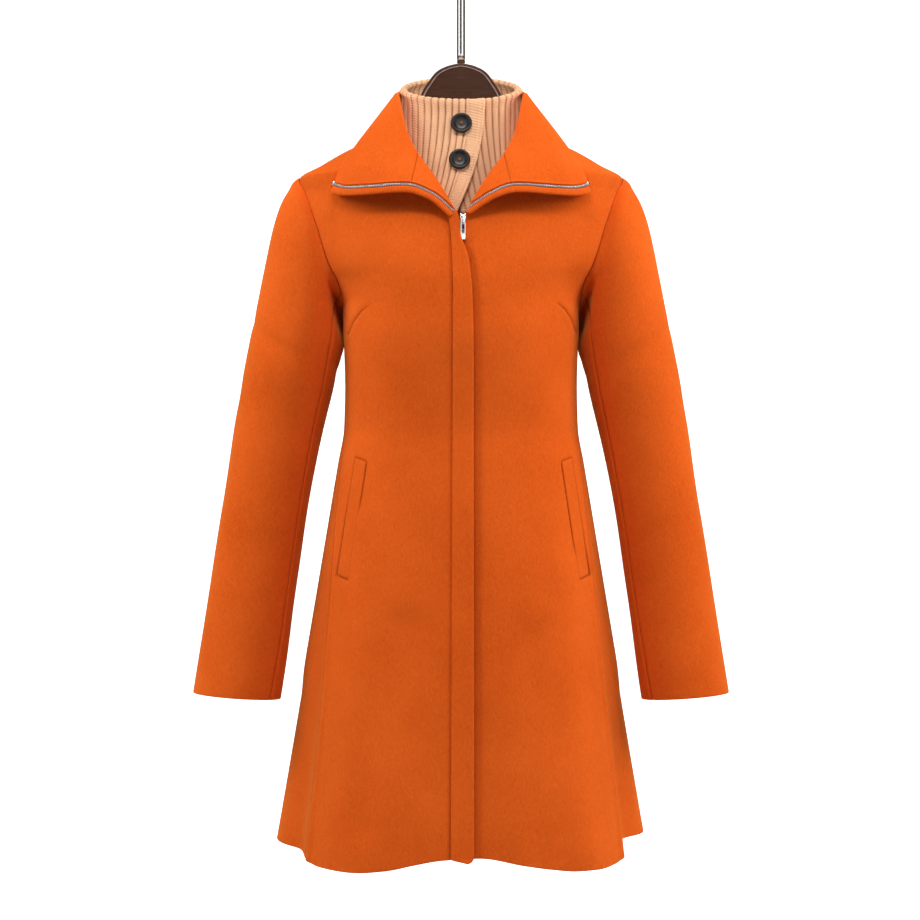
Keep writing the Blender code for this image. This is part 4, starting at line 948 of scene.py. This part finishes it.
for side, word in ((-1, "right"), (1, "left")):
    place = side * (LAST - np.linspace(ZIP_FIRST, ZIP_LAST, ZIP_ROWS))
    away = ZIP_MIDDLE + TAPE_HALF * np.array((1, 0.5, 0, -0.5, -1)) + np.zeros((ZIP_ROWS, 1))
    lane = collar(place, from_edge(place, away))
    out = grid_out(lane) * side
    floor = lane + (TAPE_LIFT - RECESS_DEPTH * zip_presence(place)[:, None, None]) * out
    line = floor[:, 2] + (TAPE_THICK + TOOTH_HIGH / 2) * out[:, 2]
    points, heading, raised = evenly(line, out[:, 2], TOOTH_PITCH)
    teeth = set_blocks(f"zip_{word}_teeth", points, heading, raised,
                       (TOOTH_ALONG, TOOTH_ACROSS, TOOTH_HIGH), zip_silver)
    stop = set_blocks(f"zip_{word}_stop", points[-1:] + STOP_BEYOND * heading[-1:], heading[-1:], raised[-1:],
                      STOP_SIZE, polished)
    tape = shell(f"zip_{word}_tape", floor[::3] + TAPE_THICK * out[::3], TAPE_THICK, zip_tape, flip=side < 0)
    half_zip = join(f"zip_{word}_open", [teeth, stop, tape])
    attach(half_zip, "coat")
    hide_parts(f"zip_{word}")

chain_levels = np.linspace(CHAIN_TOP, HEM + CHAIN_SHORT, CHAIN_ROWS)[:, None]
chain_across = CHAIN_HALF * np.array((-1, -0.5, 0, 0.5, 1)) + np.zeros((CHAIN_ROWS, 1))
chain_angles = angle_across(chain_across, chain_levels)
lane = body(chain_angles, hang(chain_angles, chain_levels + 0 * chain_angles))
out = -grid_out(lane)
points, heading, raised = evenly(lane[:, 2] - CHAIN_DEPTH * out[:, 2], out[:, 2], TOOTH_PITCH / 2)
points[::2, 0] -= CHAIN_TOOTH_SHIFT
points[1::2, 0] += CHAIN_TOOTH_SHIFT
teeth = set_blocks("zip_chain_teeth", points, heading, raised, CHAIN_TOOTH, zip_silver)
tape = shell("zip_chain_tape", lane[::2] - CHAIN_TAPE_DEPTH * out[::2], TAPE_THICK, zip_tape, flip=True)
chain = join("zip_chain_closed", [teeth, tape])
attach(chain, "coat")
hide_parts("zip_chain")

# Placket: a strip of the same cloth down the front, sewn along the wearer's right side and free on the
# left, where it covers the closed zip.
PLACKET_CLOTH = 2.0
# level, sewn edge and free edge across the centre line
PLACKET = [
    (-115.4, -14, -5.4), (-124, -12.9, -2.4), (-134, -11.8, -1.2), (-142.5, -10.9, 0.4), (-150, -10.4, 3.6),
    (-166, -9.7, 8), (-204, -8.7, 12), (-256, -9, 13.4), (HEM, -11.3, 13.9),
]
PLACKET_SKEW, PLACKET_RISE, PLACKET_DROP = 6.0, 3.2, 6.0
PLACKET_TOP_REACH, PLACKET_HEM_REACH = 25.0, 60.0
placket_sewn, placket_free = through(PLACKET, 1), through(PLACKET, 2)
# level, spread and height of small waves along the free edge
PLACKET_WAVES = [
    (-230, 40, 0.5), (-330, 50, -0.4), (-452, 36, 0.6), (-560, 60, -0.5), (-676, 44, 0.7), (-780, 50, -0.3),
]
CORNER_CUT, CORNER_CUT_HIGH = 5.0, 6.0
placket_levels = np.concatenate((np.linspace(PLACKET[0][0], HEM + 8, 270), HEM + np.linspace(7, 0, 9)))
corner_cut = CORNER_CUT * np.clip(1 - (placket_levels - HEM) / CORNER_CUT_HIGH, 0, 1) ** 2
start = angle_across(placket_sewn(placket_levels), placket_levels)
end = angle_across(placket_free(placket_levels) - corner_cut, placket_levels)
share = edged(12, 0.12, 5)
angles = start[:, None] + (end - start)[:, None] * share
near_top = np.clip(1 - (PLACKET[0][0] - placket_levels) / PLACKET_TOP_REACH, 0, 1)[:, None]
near_hem = growing_down(placket_levels, HEM + PLACKET_HEM_REACH, PLACKET_HEM_REACH) ** 2
hung = hang(angles, placket_levels[:, None] + PLACKET_SKEW * share * near_top)
hung = hung - PLACKET_DROP * share * near_hem
face = body(angles, hung)
out = body_out(angles, hung)
near, far = along_rows(face)
lift = LAY_GAP + PLACKET_CLOTH - 0.9 * bell(near, 1.6) + 1.8 * bell(far, 7) + 0.3 * bell(far - 1.6, 1.5)
lift = lift + PLACKET_RISE * near_top ** 1.5
for level, spread, height in PLACKET_WAVES:
    lift = lift + height * bell(placket_levels - level, spread)[:, None] * bell(far, 9)
face = face + lift[..., None] * out
placket = shell("placket_cloth", face, PLACKET_CLOTH, orange, (0.6, 1, 0.5, 1), True)
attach(placket, "coat")
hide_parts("placket")

# Welt pockets: a narrow folded strip of the cloth over each slanted pocket opening, sewn at its ends
# and along its outer side.
WELT_CLOTH = 2.0
share, across = edged(60, 0.03, 4)[:, None], edged(12, 0.1, 4)
for word, (side, inner_top, outer_top, inner_bottom, outer_bottom) in WELTS.items():
    inner = inner_top + (inner_bottom - inner_top) * share
    outer = outer_top + (outer_bottom - outer_top) * share
    level = WELT_TOP + (WELT_BOTTOM - WELT_TOP) * share + WELT_SLANT * (across - 1)
    angles = side * angle_across(inner + (outer - inner) * across, level)
    face, out = body(angles, level), body_out(angles, level)
    near, far = along_rows(face)
    lift = LAY_GAP + WELT_CLOTH - WELT_SINK - 0.9 * bell(far, 1.6) + 0.4 * bell(near - 2.5, 2.5)
    end_down = (WELT_TOP - WELT_BOTTOM) * np.minimum(share, 1 - share)
    lift = lift - 0.9 * bell(end_down, 1.6)
    face = face + lift[..., None] * out
    # Painted shade along the welt's outer side, its ends and its inner side.
    shade = np.maximum(0.6 * bell(far, 1.0), np.maximum(0.6 * bell(end_down, 1.0), 0.45 * bell(near, 0.8)))
    welt = shell(f"welt_{word}_cloth", face, WELT_CLOTH, orange, (0.6, 0.6, 1, 0.6), side > 0, shade)
    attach(welt, "coat")
    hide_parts(f"welt_{word}")

# Zip slider and pull: a cast chrome slider with two shoulders and a wire bail, and a flat pull tab
# with a window that hangs from the bail.
SLIDER_MIDDLE = np.array((2.4, -110.05, -118.45))
SLIDER_TILT = 0.1885
# height from the middle, half width, half thickness
SLIDER_FORM = [
    (-6.0, 1.6, 1.2), (-5.2, 2.5, 1.9), (-3, 3.1, 2.4), (0, 3.6, 2.6), (2.8, 4.3, 2.5), (4.6, 4.4, 2.2),
    (5.6, 3.6, 1.7), (6.1, 2.2, 1.0),
]
SHOULDER_RADIUS, BAIL_BEND, BAIL_RADIUS = 1.1, 2.8, 0.7
PULL_HINGE = np.array((2.4, -114.573, -121.87))
PULL_WIDTH, PULL_LENGTH, PULL_THICK, PULL_BAR = 5.8, 21.0, 1.2, 1.2
PULL_CORNER, PULL_EDGE = 1.9, 0.35
WINDOW_WIDTH, WINDOW_HEIGHT, WINDOW_CORNER = 3.4, 8.0, 1.2
WELD = 1e-6


def move_mesh(piece, middle, turn):
    """Turn about X and put a mesh at a place given in millimetres."""
    place = Matrix.Translation((Vector(middle) - Vector((0, 0, HANG_DROP))) * MM)
    piece.data.transform(place @ Matrix.Rotation(turn, 4, "X"))


def outward(mesh, weld=None):
    """Turn a closed mesh's faces outwards, once points that lie together are welded."""
    bm = bmesh.new()
    bm.from_mesh(mesh)
    if weld:
        bmesh.ops.remove_doubles(bm, verts=bm.verts, dist=weld)
    bmesh.ops.recalc_face_normals(bm, faces=bm.faces)
    bm.to_mesh(mesh)
    bm.free()


def solid(name, curve, material):
    """Plain closed mesh from a curve."""
    holder = add(name, curve)
    graph = bpy.context.evaluated_depsgraph_get()
    mesh = bpy.data.meshes.new_from_object(holder.evaluated_get(graph))
    bpy.data.objects.remove(holder)
    mesh.name = name
    outward(mesh, WELD)
    mesh.shade_smooth()
    mesh.materials.clear()
    mesh.materials.append(material)
    return add(name, mesh)


def tube(name, route, radius, material):
    """Round wire or rod along points in millimetres."""
    curve = bpy.data.curves.new(name, "CURVE")
    curve.dimensions = "3D"
    curve.bevel_depth = radius * MM
    curve.bevel_resolution = 6
    curve.use_fill_caps = True
    line = curve.splines.new("POLY")
    line.points.add(len(route) - 1)
    for spot, point in zip(line.points, route):
        spot.co = (*(float(part) * MM for part in point), 1)
    return solid(name, curve, material)


def plate(name, outlines, thick, round_edge, material):
    """Flat plate with rounded edges from outlines in the front view; those after the first are holes."""
    curve = bpy.data.curves.new(name, "CURVE")
    curve.dimensions = "2D"
    curve.fill_mode = "BOTH"
    curve.extrude = (thick / 2 - round_edge) * MM
    curve.bevel_depth = round_edge * MM
    curve.bevel_resolution = 4
    curve.offset = -round_edge * MM
    for outline in outlines:
        line = curve.splines.new("POLY")
        line.points.add(len(outline) - 1)
        for spot, (x, z) in zip(line.points, outline):
            spot.co = (x * MM, z * MM, 0, 1)
        line.use_cyclic_u = True
    board = solid(name, curve, material)
    board.data.transform(Matrix.Rotation(pi / 2, 4, "X"))
    board.data.set_sharp_from_angle(angle=radians(40))
    return board


def lofted(name, rings, material):
    """Closed form through rings of points, capped at both ends."""
    bm = bmesh.new()
    loops = [[bm.verts.new(Vector(point) * MM) for point in ring] for ring in rings]
    for low, high in zip(loops, loops[1:]):
        for i in range(len(low)):
            j = (i + 1) % len(low)
            bm.faces.new((low[i], low[j], high[j], high[i]))
    bm.faces.new(loops[0][::-1])
    bm.faces.new(loops[-1])
    bmesh.ops.recalc_face_normals(bm, faces=bm.faces)
    mesh = bpy.data.meshes.new(name)
    bm.to_mesh(mesh)
    bm.free()
    mesh.shade_smooth()
    mesh.materials.append(material)
    return add(name, mesh)


heights = np.linspace(SLIDER_FORM[0][0], SLIDER_FORM[-1][0], 26)
slider_wide, slider_deep = through(SLIDER_FORM, 1), through(SLIDER_FORM, 2)
turns = np.linspace(0, 2 * pi, 33)[:-1]
rings = [[(slider_wide(z) * rounded(cos(a)), slider_deep(z) * rounded(sin(a)), z) for a in turns]
         for z in heights]
slider = lofted("slider_body", rings, polished)
shoulders = []
for side in (-1, 1):
    route = [(side * (1.2 + 1.1 * s), -0.6, 4.4 + 2.4 * s - 0.9 * s * s) for s in np.linspace(0, 2, 10)]
    shoulders.append(tube("slider_shoulder", route, SHOULDER_RADIUS, polished))
route = [(0, -2.5 - BAIL_BEND * sin(a), -4.2 + BAIL_BEND * cos(a)) for a in np.linspace(0, pi, 24)]
bail = tube("slider_bail", route, BAIL_RADIUS, polished)
slider = join("zip_slider_cast", [slider, bail] + shoulders)
move_mesh(slider, SLIDER_MIDDLE, -SLIDER_TILT)
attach(slider, "coat")
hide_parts("zip_slider")


def round_box(half, low, high, radius, steps=7):
    """Outline of a rectangle with rounded corners."""
    spots = []
    for quarter, (x, z) in enumerate(((half - radius, high - radius), (radius - half, high - radius),
                                      (radius - half, low + radius), (half - radius, low + radius))):
        turns = np.linspace(0, pi / 2, steps) + quarter * pi / 2
        spots += [(x + radius * cos(a), z + radius * sin(a)) for a in turns]
    return spots


pull_top, pull_low = PULL_BAR / 2, PULL_BAR / 2 - PULL_LENGTH
window_top = -PULL_BAR / 2
pull_outline = round_box(PULL_WIDTH / 2, pull_low, pull_top, PULL_CORNER)
window = round_box(WINDOW_WIDTH / 2, window_top - WINDOW_HEIGHT, window_top, WINDOW_CORNER)
pull = plate("zip_pull_tab", [pull_outline, window], PULL_THICK, PULL_EDGE, polished)
move_mesh(pull, PULL_HINGE, 0)
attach(pull, "zip_pull")
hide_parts("zip_pull")

# Knit neck band: ribbed apricot knit with a soft rolled rim, wrapped over itself at the front and fixed
# inside the collar's stand.
KNIT_HALF, KNIT_FRONT, KNIT_BACK, KNIT_LEVEL, KNIT_TILT = 69.5, 60.0, 58.0, 45.3, 0.36
KNIT_WALL, RIB_COUNT, RIB_HEIGHT, RIB_SPREAD, BORDER_RIBS = 3.0, 50, 1.6, 7.0, 2.4
KNIT_UNDER_END, KNIT_OVER_END = -15.0, 383.6
KNIT_LAP, KNIT_LAP_FROM, KNIT_LAP_OVER, KNIT_FAN = 6.6, 46.0, 20.0, 40.0
RIM_ROUND, RIM_REACH = 3.9, 0.08
KNIT_UNDER_SHIFT, KNIT_UNDER_FROM, KNIT_UNDER_OVER = 14.0, 20.0, 35.0
# angle, distance across, depth and level of the lower edge
KNIT_FOOT = [
    (-23.6, 5.8, -97, -111), (-5, 21, -95, -108), (10.6, 31.5, -90, -92), (29, 42, -80.5, -68),
    (47, 52, -69, -46), (64, 61, -54, -27), (78, 71.5, -27, 1), (90, 76.2, 0, 9), (121, 68.3, 32.1, 14),
    (150, 39, 57.5, 23), (180, 0, 65.3, 26),
]
knit_across, knit_depth, knit_low = (through(KNIT_FOOT, column) for column in (1, 2, 3))


def knit(angle, down):
    """Points on the band's plain outer face, from its rim down to its foot."""
    angle, down = np.broadcast_arrays(np.asarray(angle, float), np.asarray(down, float))
    side = np.where(angle < 180, 1, -1)
    turn = np.where(angle < 180, angle, 360 - angle)
    lean = np.cos(np.radians(turn))
    rim_y = -np.where(lean > 0, KNIT_FRONT, KNIT_BACK) * lean
    rim_x, rim_z = KNIT_HALF * np.sin(np.radians(turn)), KNIT_LEVEL + KNIT_TILT * rim_y
    fan = np.clip((90 - turn) / KNIT_FAN, 0, 1)
    x = rim_x + (knit_across(turn) - rim_x) * down ** (1 + fan)
    under = np.clip((KNIT_UNDER_FROM - turn) / KNIT_UNDER_OVER, 0, 1)
    x = x - np.where(side > 0, KNIT_UNDER_SHIFT, 0) * down ** 2 * under
    y = rim_y + (knit_depth(turn) - rim_y) * down
    z = rim_z + (knit_low(turn) - rim_z) * down
    lap = KNIT_LAP * np.clip((KNIT_LAP_FROM - turn) / KNIT_LAP_OVER, 0, 1)
    return np.stack((x * side, y + np.where(side > 0, lap, 0), z), -1)


def knit_wool(name):
    """Ribbed wool: painted shade that darkens the rib grooves to brown and lightens the crowns, and rows of
    small V stitches.
    """
    material, tree, shader, place = textured(name)
    spot = put(tree, "ShaderNodeUVMap", {"uv_map": "rib"}).outputs["UV"]
    across, down = put(tree, "ShaderNodeSeparateXYZ", Vector=spot).outputs[:2]
    painted_rib_shade = maths(tree, "MULTIPLY", maths(tree, "PINGPONG", across, 0.5), 2.0)
    slant = maths(tree, "MULTIPLY_ADD", maths(tree, "PINGPONG", across, 0.25), 2.4, down)
    loop = maths(tree, "SINE", maths(tree, "MULTIPLY", slant, 2 * pi))
    fuzz, tone = noise(tree, place, 1000.0, 4.0, Roughness=0.75), noise(tree, place, 60.0, 2.0)
    # Painted shade across each rib, mixed with the knit's own random tone and its V stitches.
    depth = maths(tree, "MULTIPLY_ADD", loop, 0.05, maths(tree, "MULTIPLY_ADD", tone, 0.3, painted_rib_shade))
    colour = two_tone(tree, depth, (0.46, 0.15, 0.05), (0.88, 0.5, 0.29), 0.1, 0.55)
    normal = bumps(tree, maths(tree, "MULTIPLY_ADD", loop, 0.35, fuzz), 0.8, 0.001)
    feed(tree, shader, Base_Color=colour, Normal=normal, Roughness=0.95, Specular_IOR_Level=0.15,
         Sheen_Weight=0.15, Sheen_Tint=(1.0, 0.7, 0.5, 1))
    return material


apricot = knit_wool("apricot_rib_knit")
RIB_SLICES, COURSE = 10, 3.4
KNIT_ROWS, KNIT_INNER_ROWS, RIM_START = 44, 15, 0.015
columns = RIB_COUNT * RIB_SLICES
angles = KNIT_UNDER_END + (KNIT_OVER_END - KNIT_UNDER_END) * np.arange(columns + 1) / columns
angles = angles - RIB_SPREAD * (np.sin(np.radians(2 * angles)) - np.interp(
    angles, angles[[0, -1]], np.sin(np.radians(2 * angles[[0, -1]]))))
phase = np.arange(columns + 1) / RIB_SLICES
to_border = RIB_COUNT - phase
ridges = 0.5 + 0.5 * bell(to_border - 0.3, 0.2) + 0.4 * bell(to_border - 0.9, 0.2)
rib = RIB_HEIGHT * np.where(to_border < BORDER_RIBS, ridges, np.abs(np.sin(pi * phase)) ** 0.6)
phase = np.where(to_border < BORDER_RIBS, RIB_COUNT - 0.5, phase)
outer_down, inner_down = np.linspace(1, RIM_START, KNIT_ROWS), np.linspace(RIM_START, 1, KNIT_INNER_ROWS)
outer = knit(angles[:, None], outer_down)
outer_out = -grid_out(knit(angles[:, None], np.linspace(1, 0, KNIT_ROWS)))
swell = (RIM_ROUND - KNIT_WALL / 2) * bell(outer_down, RIM_REACH)
outer_face = outer + (rib[:, None] + swell)[..., None] * outer_out
top_out = outer_out[:, -1:]
rim_turn = np.linspace(0, pi, 11)[1:-1]
rim_middle = knit(angles[:, None], 0.0) - KNIT_WALL / 2 * top_out
ring_size = (RIM_ROUND + rib[:, None] * np.cos(rim_turn / 2) ** 2)[..., None]
rise = unit(np.array((0, 0, 1.0)) - dot(np.array((0, 0, 1.0)), top_out) * top_out)
rim_face = rim_middle + ring_size * (top_out * np.cos(rim_turn)[:, None] + rise * np.sin(rim_turn)[:, None])
inner = knit(angles[:, None], inner_down)
inner_out = outer_out[:, np.linspace(KNIT_ROWS - 1, 0, KNIT_INNER_ROWS).astype(int)]
inner_swell = (RIM_ROUND - KNIT_WALL / 2) * bell(inner_down, RIM_REACH)
inner_face = inner - (KNIT_WALL + inner_swell - 0.5 * rib[:, None])[..., None] * inner_out
section = np.concatenate((outer_face, rim_face, inner_face), axis=1)
size = section.shape[1]
number = np.arange(section.shape[0] * size).reshape(-1, size)
wrapped = np.concatenate((number, number[:, :1]), axis=1)
quads = np.stack((wrapped[:-1, :-1], wrapped[1:, :-1], wrapped[1:, 1:], wrapped[:-1, 1:]), -1)
faces = quads.reshape(-1, 4).tolist() + [number[0].tolist(), number[-1, ::-1].tolist()]
mesh = bpy.data.meshes.new("knit_band")
mesh.from_pydata((section.reshape(-1, 3) + (0, 0, -HANG_DROP)) * MM, [], faces)
run, _ = along_rows(section)
spots = np.stack((np.repeat(phase[:, None], size, axis=1), run / COURSE), -1).reshape(-1, 2)
layer = mesh.uv_layers.new(name="rib")
corners = np.zeros(len(mesh.loops), int)
mesh.loops.foreach_get("vertex_index", corners)
layer.data.foreach_set("uv", spots[corners].astype(np.float32).ravel())
outward(mesh)
mesh.shade_smooth()
mesh.materials.append(apricot)
band = add("knit_band", mesh)
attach(band, "coat")
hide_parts("knit_collar")

# Buttons: two turned black horn buttons with a raised rim and a dished face, each sewn on through
# four holes with brown thread.
BUTTON_RADIUS, BUTTON_HEIGHT = 12.6, 4.2
# share of the radius, share of the height, from the middle of the face round to the back
BUTTON_PROFILE = [
    (0, 0.5), (0.3, 0.5), (0.5, 0.53), (0.6, 0.62), (0.68, 0.79), (0.75, 0.93), (0.82, 1.0), (0.9, 0.97),
    (0.96, 0.86), (1, 0.66), (0.985, 0.45), (0.93, 0.26), (0.78, 0.08), (0.6, 0), (0, 0),
]
BUTTON_MIDDLE = 0.02
HOLE_RADIUS, HOLE_PLACE = 0.95, 1.9
THREAD_RADIUS, THREAD_APART = 0.36, 0.3
# name, angle round the knit band, share of the way down it, turn of the holes
BUTTONS = [("upper", 361.2, 0.2055, 0.5), ("lower", 365.0, 0.5345, 0.2)]


def horn(name):
    """Polished black horn with faint brown streaks."""
    material, tree, shader, place = textured(name)
    streak = noise(tree, place, 260.0, 5.0, Distortion=1.5)
    colour = two_tone(tree, streak, (0.006, 0.005, 0.005), (0.02, 0.012, 0.008), 0.4, 0.75)
    gloss = put(tree, "ShaderNodeMapRange", Value=streak, To_Min=0.3, To_Max=0.46)
    feed(tree, shader, Base_Color=colour, Roughness=gloss.outputs["Result"], Specular_IOR_Level=0.25,
         Coat_Weight=0.1, Coat_Roughness=0.15)
    return material


black_horn = horn("black_horn")
brown_thread = yarn("brown_thread", (0.42, 0.15, 0.045), 0.45, 1100.0, 0.0, 0.8, None)
for word, angle, down, twist in BUTTONS:
    turns = np.linspace(0, 2 * pi, 65)[:-1]
    rings = []
    for share, height in BUTTON_PROFILE:
        radius = BUTTON_RADIUS * max(share, BUTTON_MIDDLE)
        rings.append([(radius * cos(a), radius * sin(a), BUTTON_HEIGHT * height) for a in turns])
    disc = lofted(f"button_{word}_disc", rings, black_horn)
    for i in range(4):
        a = twist + pi / 4 + i * pi / 2
        x, y = HOLE_PLACE * cos(a), HOLE_PLACE * sin(a)
        drill = tube("drill", [(x, y, -2), (x, y, 6)], HOLE_RADIUS, black_horn)
        cut = disc.modifiers.new("hole", "BOOLEAN")
        cut.operation, cut.solver, cut.object = "DIFFERENCE", "EXACT", drill
        graph = bpy.context.evaluated_depsgraph_get()
        drilled = bpy.data.meshes.new_from_object(disc.evaluated_get(graph))
        disc.modifiers.remove(cut)
        disc.data = drilled
        bpy.data.objects.remove(drill)
    disc.data.shade_smooth()
    disc.data.set_sharp_from_angle(angle=radians(45))
    threads = []
    for i in range(2):
        a = twist + pi / 4 + i * pi / 2
        for sideways in (-THREAD_APART, THREAD_APART):
            route = []
            for t in np.linspace(-1, 1, 15):
                reach = HOLE_PLACE * min(max(1.15 * t, -1), 1)
                height = BUTTON_HEIGHT * 0.5 + 0.5 + 0.3 * i - 2.4 * abs(t) ** 8
                route.append((reach * cos(a) - sideways * sin(a), reach * sin(a) + sideways * cos(a), height))
            threads.append(tube("thread", route, THREAD_RADIUS, brown_thread))
    button = join(f"button_{word}_horn", [disc] + threads)
    around = knit(np.array((angle, angle + 1, angle)), np.array((down, down, down + 0.02)))
    out = unit(np.cross(around[1] - around[0], around[0] - around[2]))
    seat = around[0] + (RIB_HEIGHT + LAY_GAP) * out
    place = Matrix.Translation((Vector(seat) - Vector((0, 0, HANG_DROP))) * MM)
    button.data.transform(place @ Vector(out).to_track_quat("Z", "Y").to_matrix().to_4x4())
    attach(button, "coat")
    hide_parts(f"button_{word}")

# Hanger: a flat walnut board with rounded edges and a fine bead near its edge, and a chrome hook
# screwed into its top.
HANGER_THICK, HANGER_EDGE, HANGER_TOP, HANGER_GAP = 13.0, 2.2, 78.6, 0.7
BEAD_INSET, BEAD_RADIUS = 4.2, 0.8
SHOULDER_CLOTH = 2.5
# across and up, over the middle of the board, and along its under side from the tip
HANGER_CAP = [(0, HANGER_TOP), (16, 75), (30, 67.5), (40, 54.5), (48, 41), (57, 16), (64, 2), (71, -6)]
HANGER_ARM_LEVELS = (-6, -14, -21.5, -29, -37, -45, -49)
HANGER_UNDER = [(177, -72), (139, -60), (100, -42), (66, -20), (34, 0), (0, 6)]
ROD_RADIUS, STEM_TOP, HOOK_RADIUS, HOOK_RISE = 5.0, 156.0, 25.0, 30.0


def walnut(name, dark, light):
    """Oiled walnut, its grain mirrored about the middle of the board."""
    material, tree, shader, place = textured(name)
    x, y, z = put(tree, "ShaderNodeSeparateXYZ", Vector=place).outputs
    joined = put(tree, "ShaderNodeCombineXYZ", X=maths(tree, "ABSOLUTE", x), Y=y, Z=z)
    laid = put(tree, "ShaderNodeMapping", Vector=joined.outputs["Vector"], Rotation=(0, radians(28), 0),
               Scale=(1.0, 4.0, 9.0)).outputs["Vector"]
    grain, pores = noise(tree, laid, 34.0, 6.0, Roughness=0.62, Distortion=0.6), noise(tree, laid, 240.0, 3.0)
    gloss = put(tree, "ShaderNodeMapRange", Value=pores, To_Min=0.25, To_Max=0.5)
    feed(tree, shader, Base_Color=two_tone(tree, grain, dark, light, 0.36, 0.68),
         Roughness=gloss.outputs["Result"], Normal=bumps(tree, pores, 0.15, 0.0003), Specular_IOR_Level=0.2)
    return material


dark_walnut = walnut("dark_walnut", (0.046, 0.017, 0.009), (0.074, 0.03, 0.015))
# Much lighter walnut for the bead: a painted highlight along the board's edge.
painted_highlight_walnut = walnut("painted_highlight_walnut", (0.24, 0.15, 0.13), (0.38, 0.27, 0.25))
cap = spline(HANGER_CAP)(np.linspace(0, len(HANGER_CAP) - 1, 71))
arm_levels = np.array(HANGER_ARM_LEVELS, float)
slope = (half_width(arm_levels - 1) - half_width(arm_levels + 1)) / 2
arm_tops = arm_levels - SHOULDER_CLOTH * (1 + slope ** -2) ** 0.5 - HANGER_GAP
arms = np.stack((half_width(arm_levels), arm_tops), -1)
outline = np.concatenate((cap, arms, np.array(HANGER_UNDER, float)))
outline = np.concatenate((outline, outline[-2:0:-1] * (-1, 1)))
board = plate("hanger_board", [outline.tolist()], HANGER_THICK, HANGER_EDGE, dark_walnut)
heading = np.gradient(cap, axis=0)
bead = cap + BEAD_INSET * unit(np.stack((heading[:, 1], -heading[:, 0]), -1))
bead = np.concatenate((bead[:0:-1] * (-1, 1), bead))
bead = tube("hanger_bead", [(x, -HANGER_THICK / 2, z) for x, z in bead], BEAD_RADIUS, painted_highlight_walnut)
board = join("hanger_board", [board, bead])
move_mesh(board, (0, 0, 0), 0)
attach(board, "coat")
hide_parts("hanger")

hook_middle = STEM_TOP + HOOK_RISE
route = [(0, 0, z) for z in np.linspace(HANGER_TOP + LAY_GAP, STEM_TOP, 8)]
for t in np.linspace(0, 1, 20)[1:]:
    route.append((HOOK_RADIUS * (1 - cos(pi * t)) / 2, 0, STEM_TOP + HOOK_RISE * t))
for t in np.linspace(0, pi, 48)[1:]:
    route.append((HOOK_RADIUS * cos(t), 0, hook_middle + HOOK_RADIUS * sin(t)))
hook = tube("hanger_hook_rod", route, ROD_RADIUS, polished)
move_mesh(hook, (0, 0, 0), 0)
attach(hook, "coat")
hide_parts("hanger_hook")
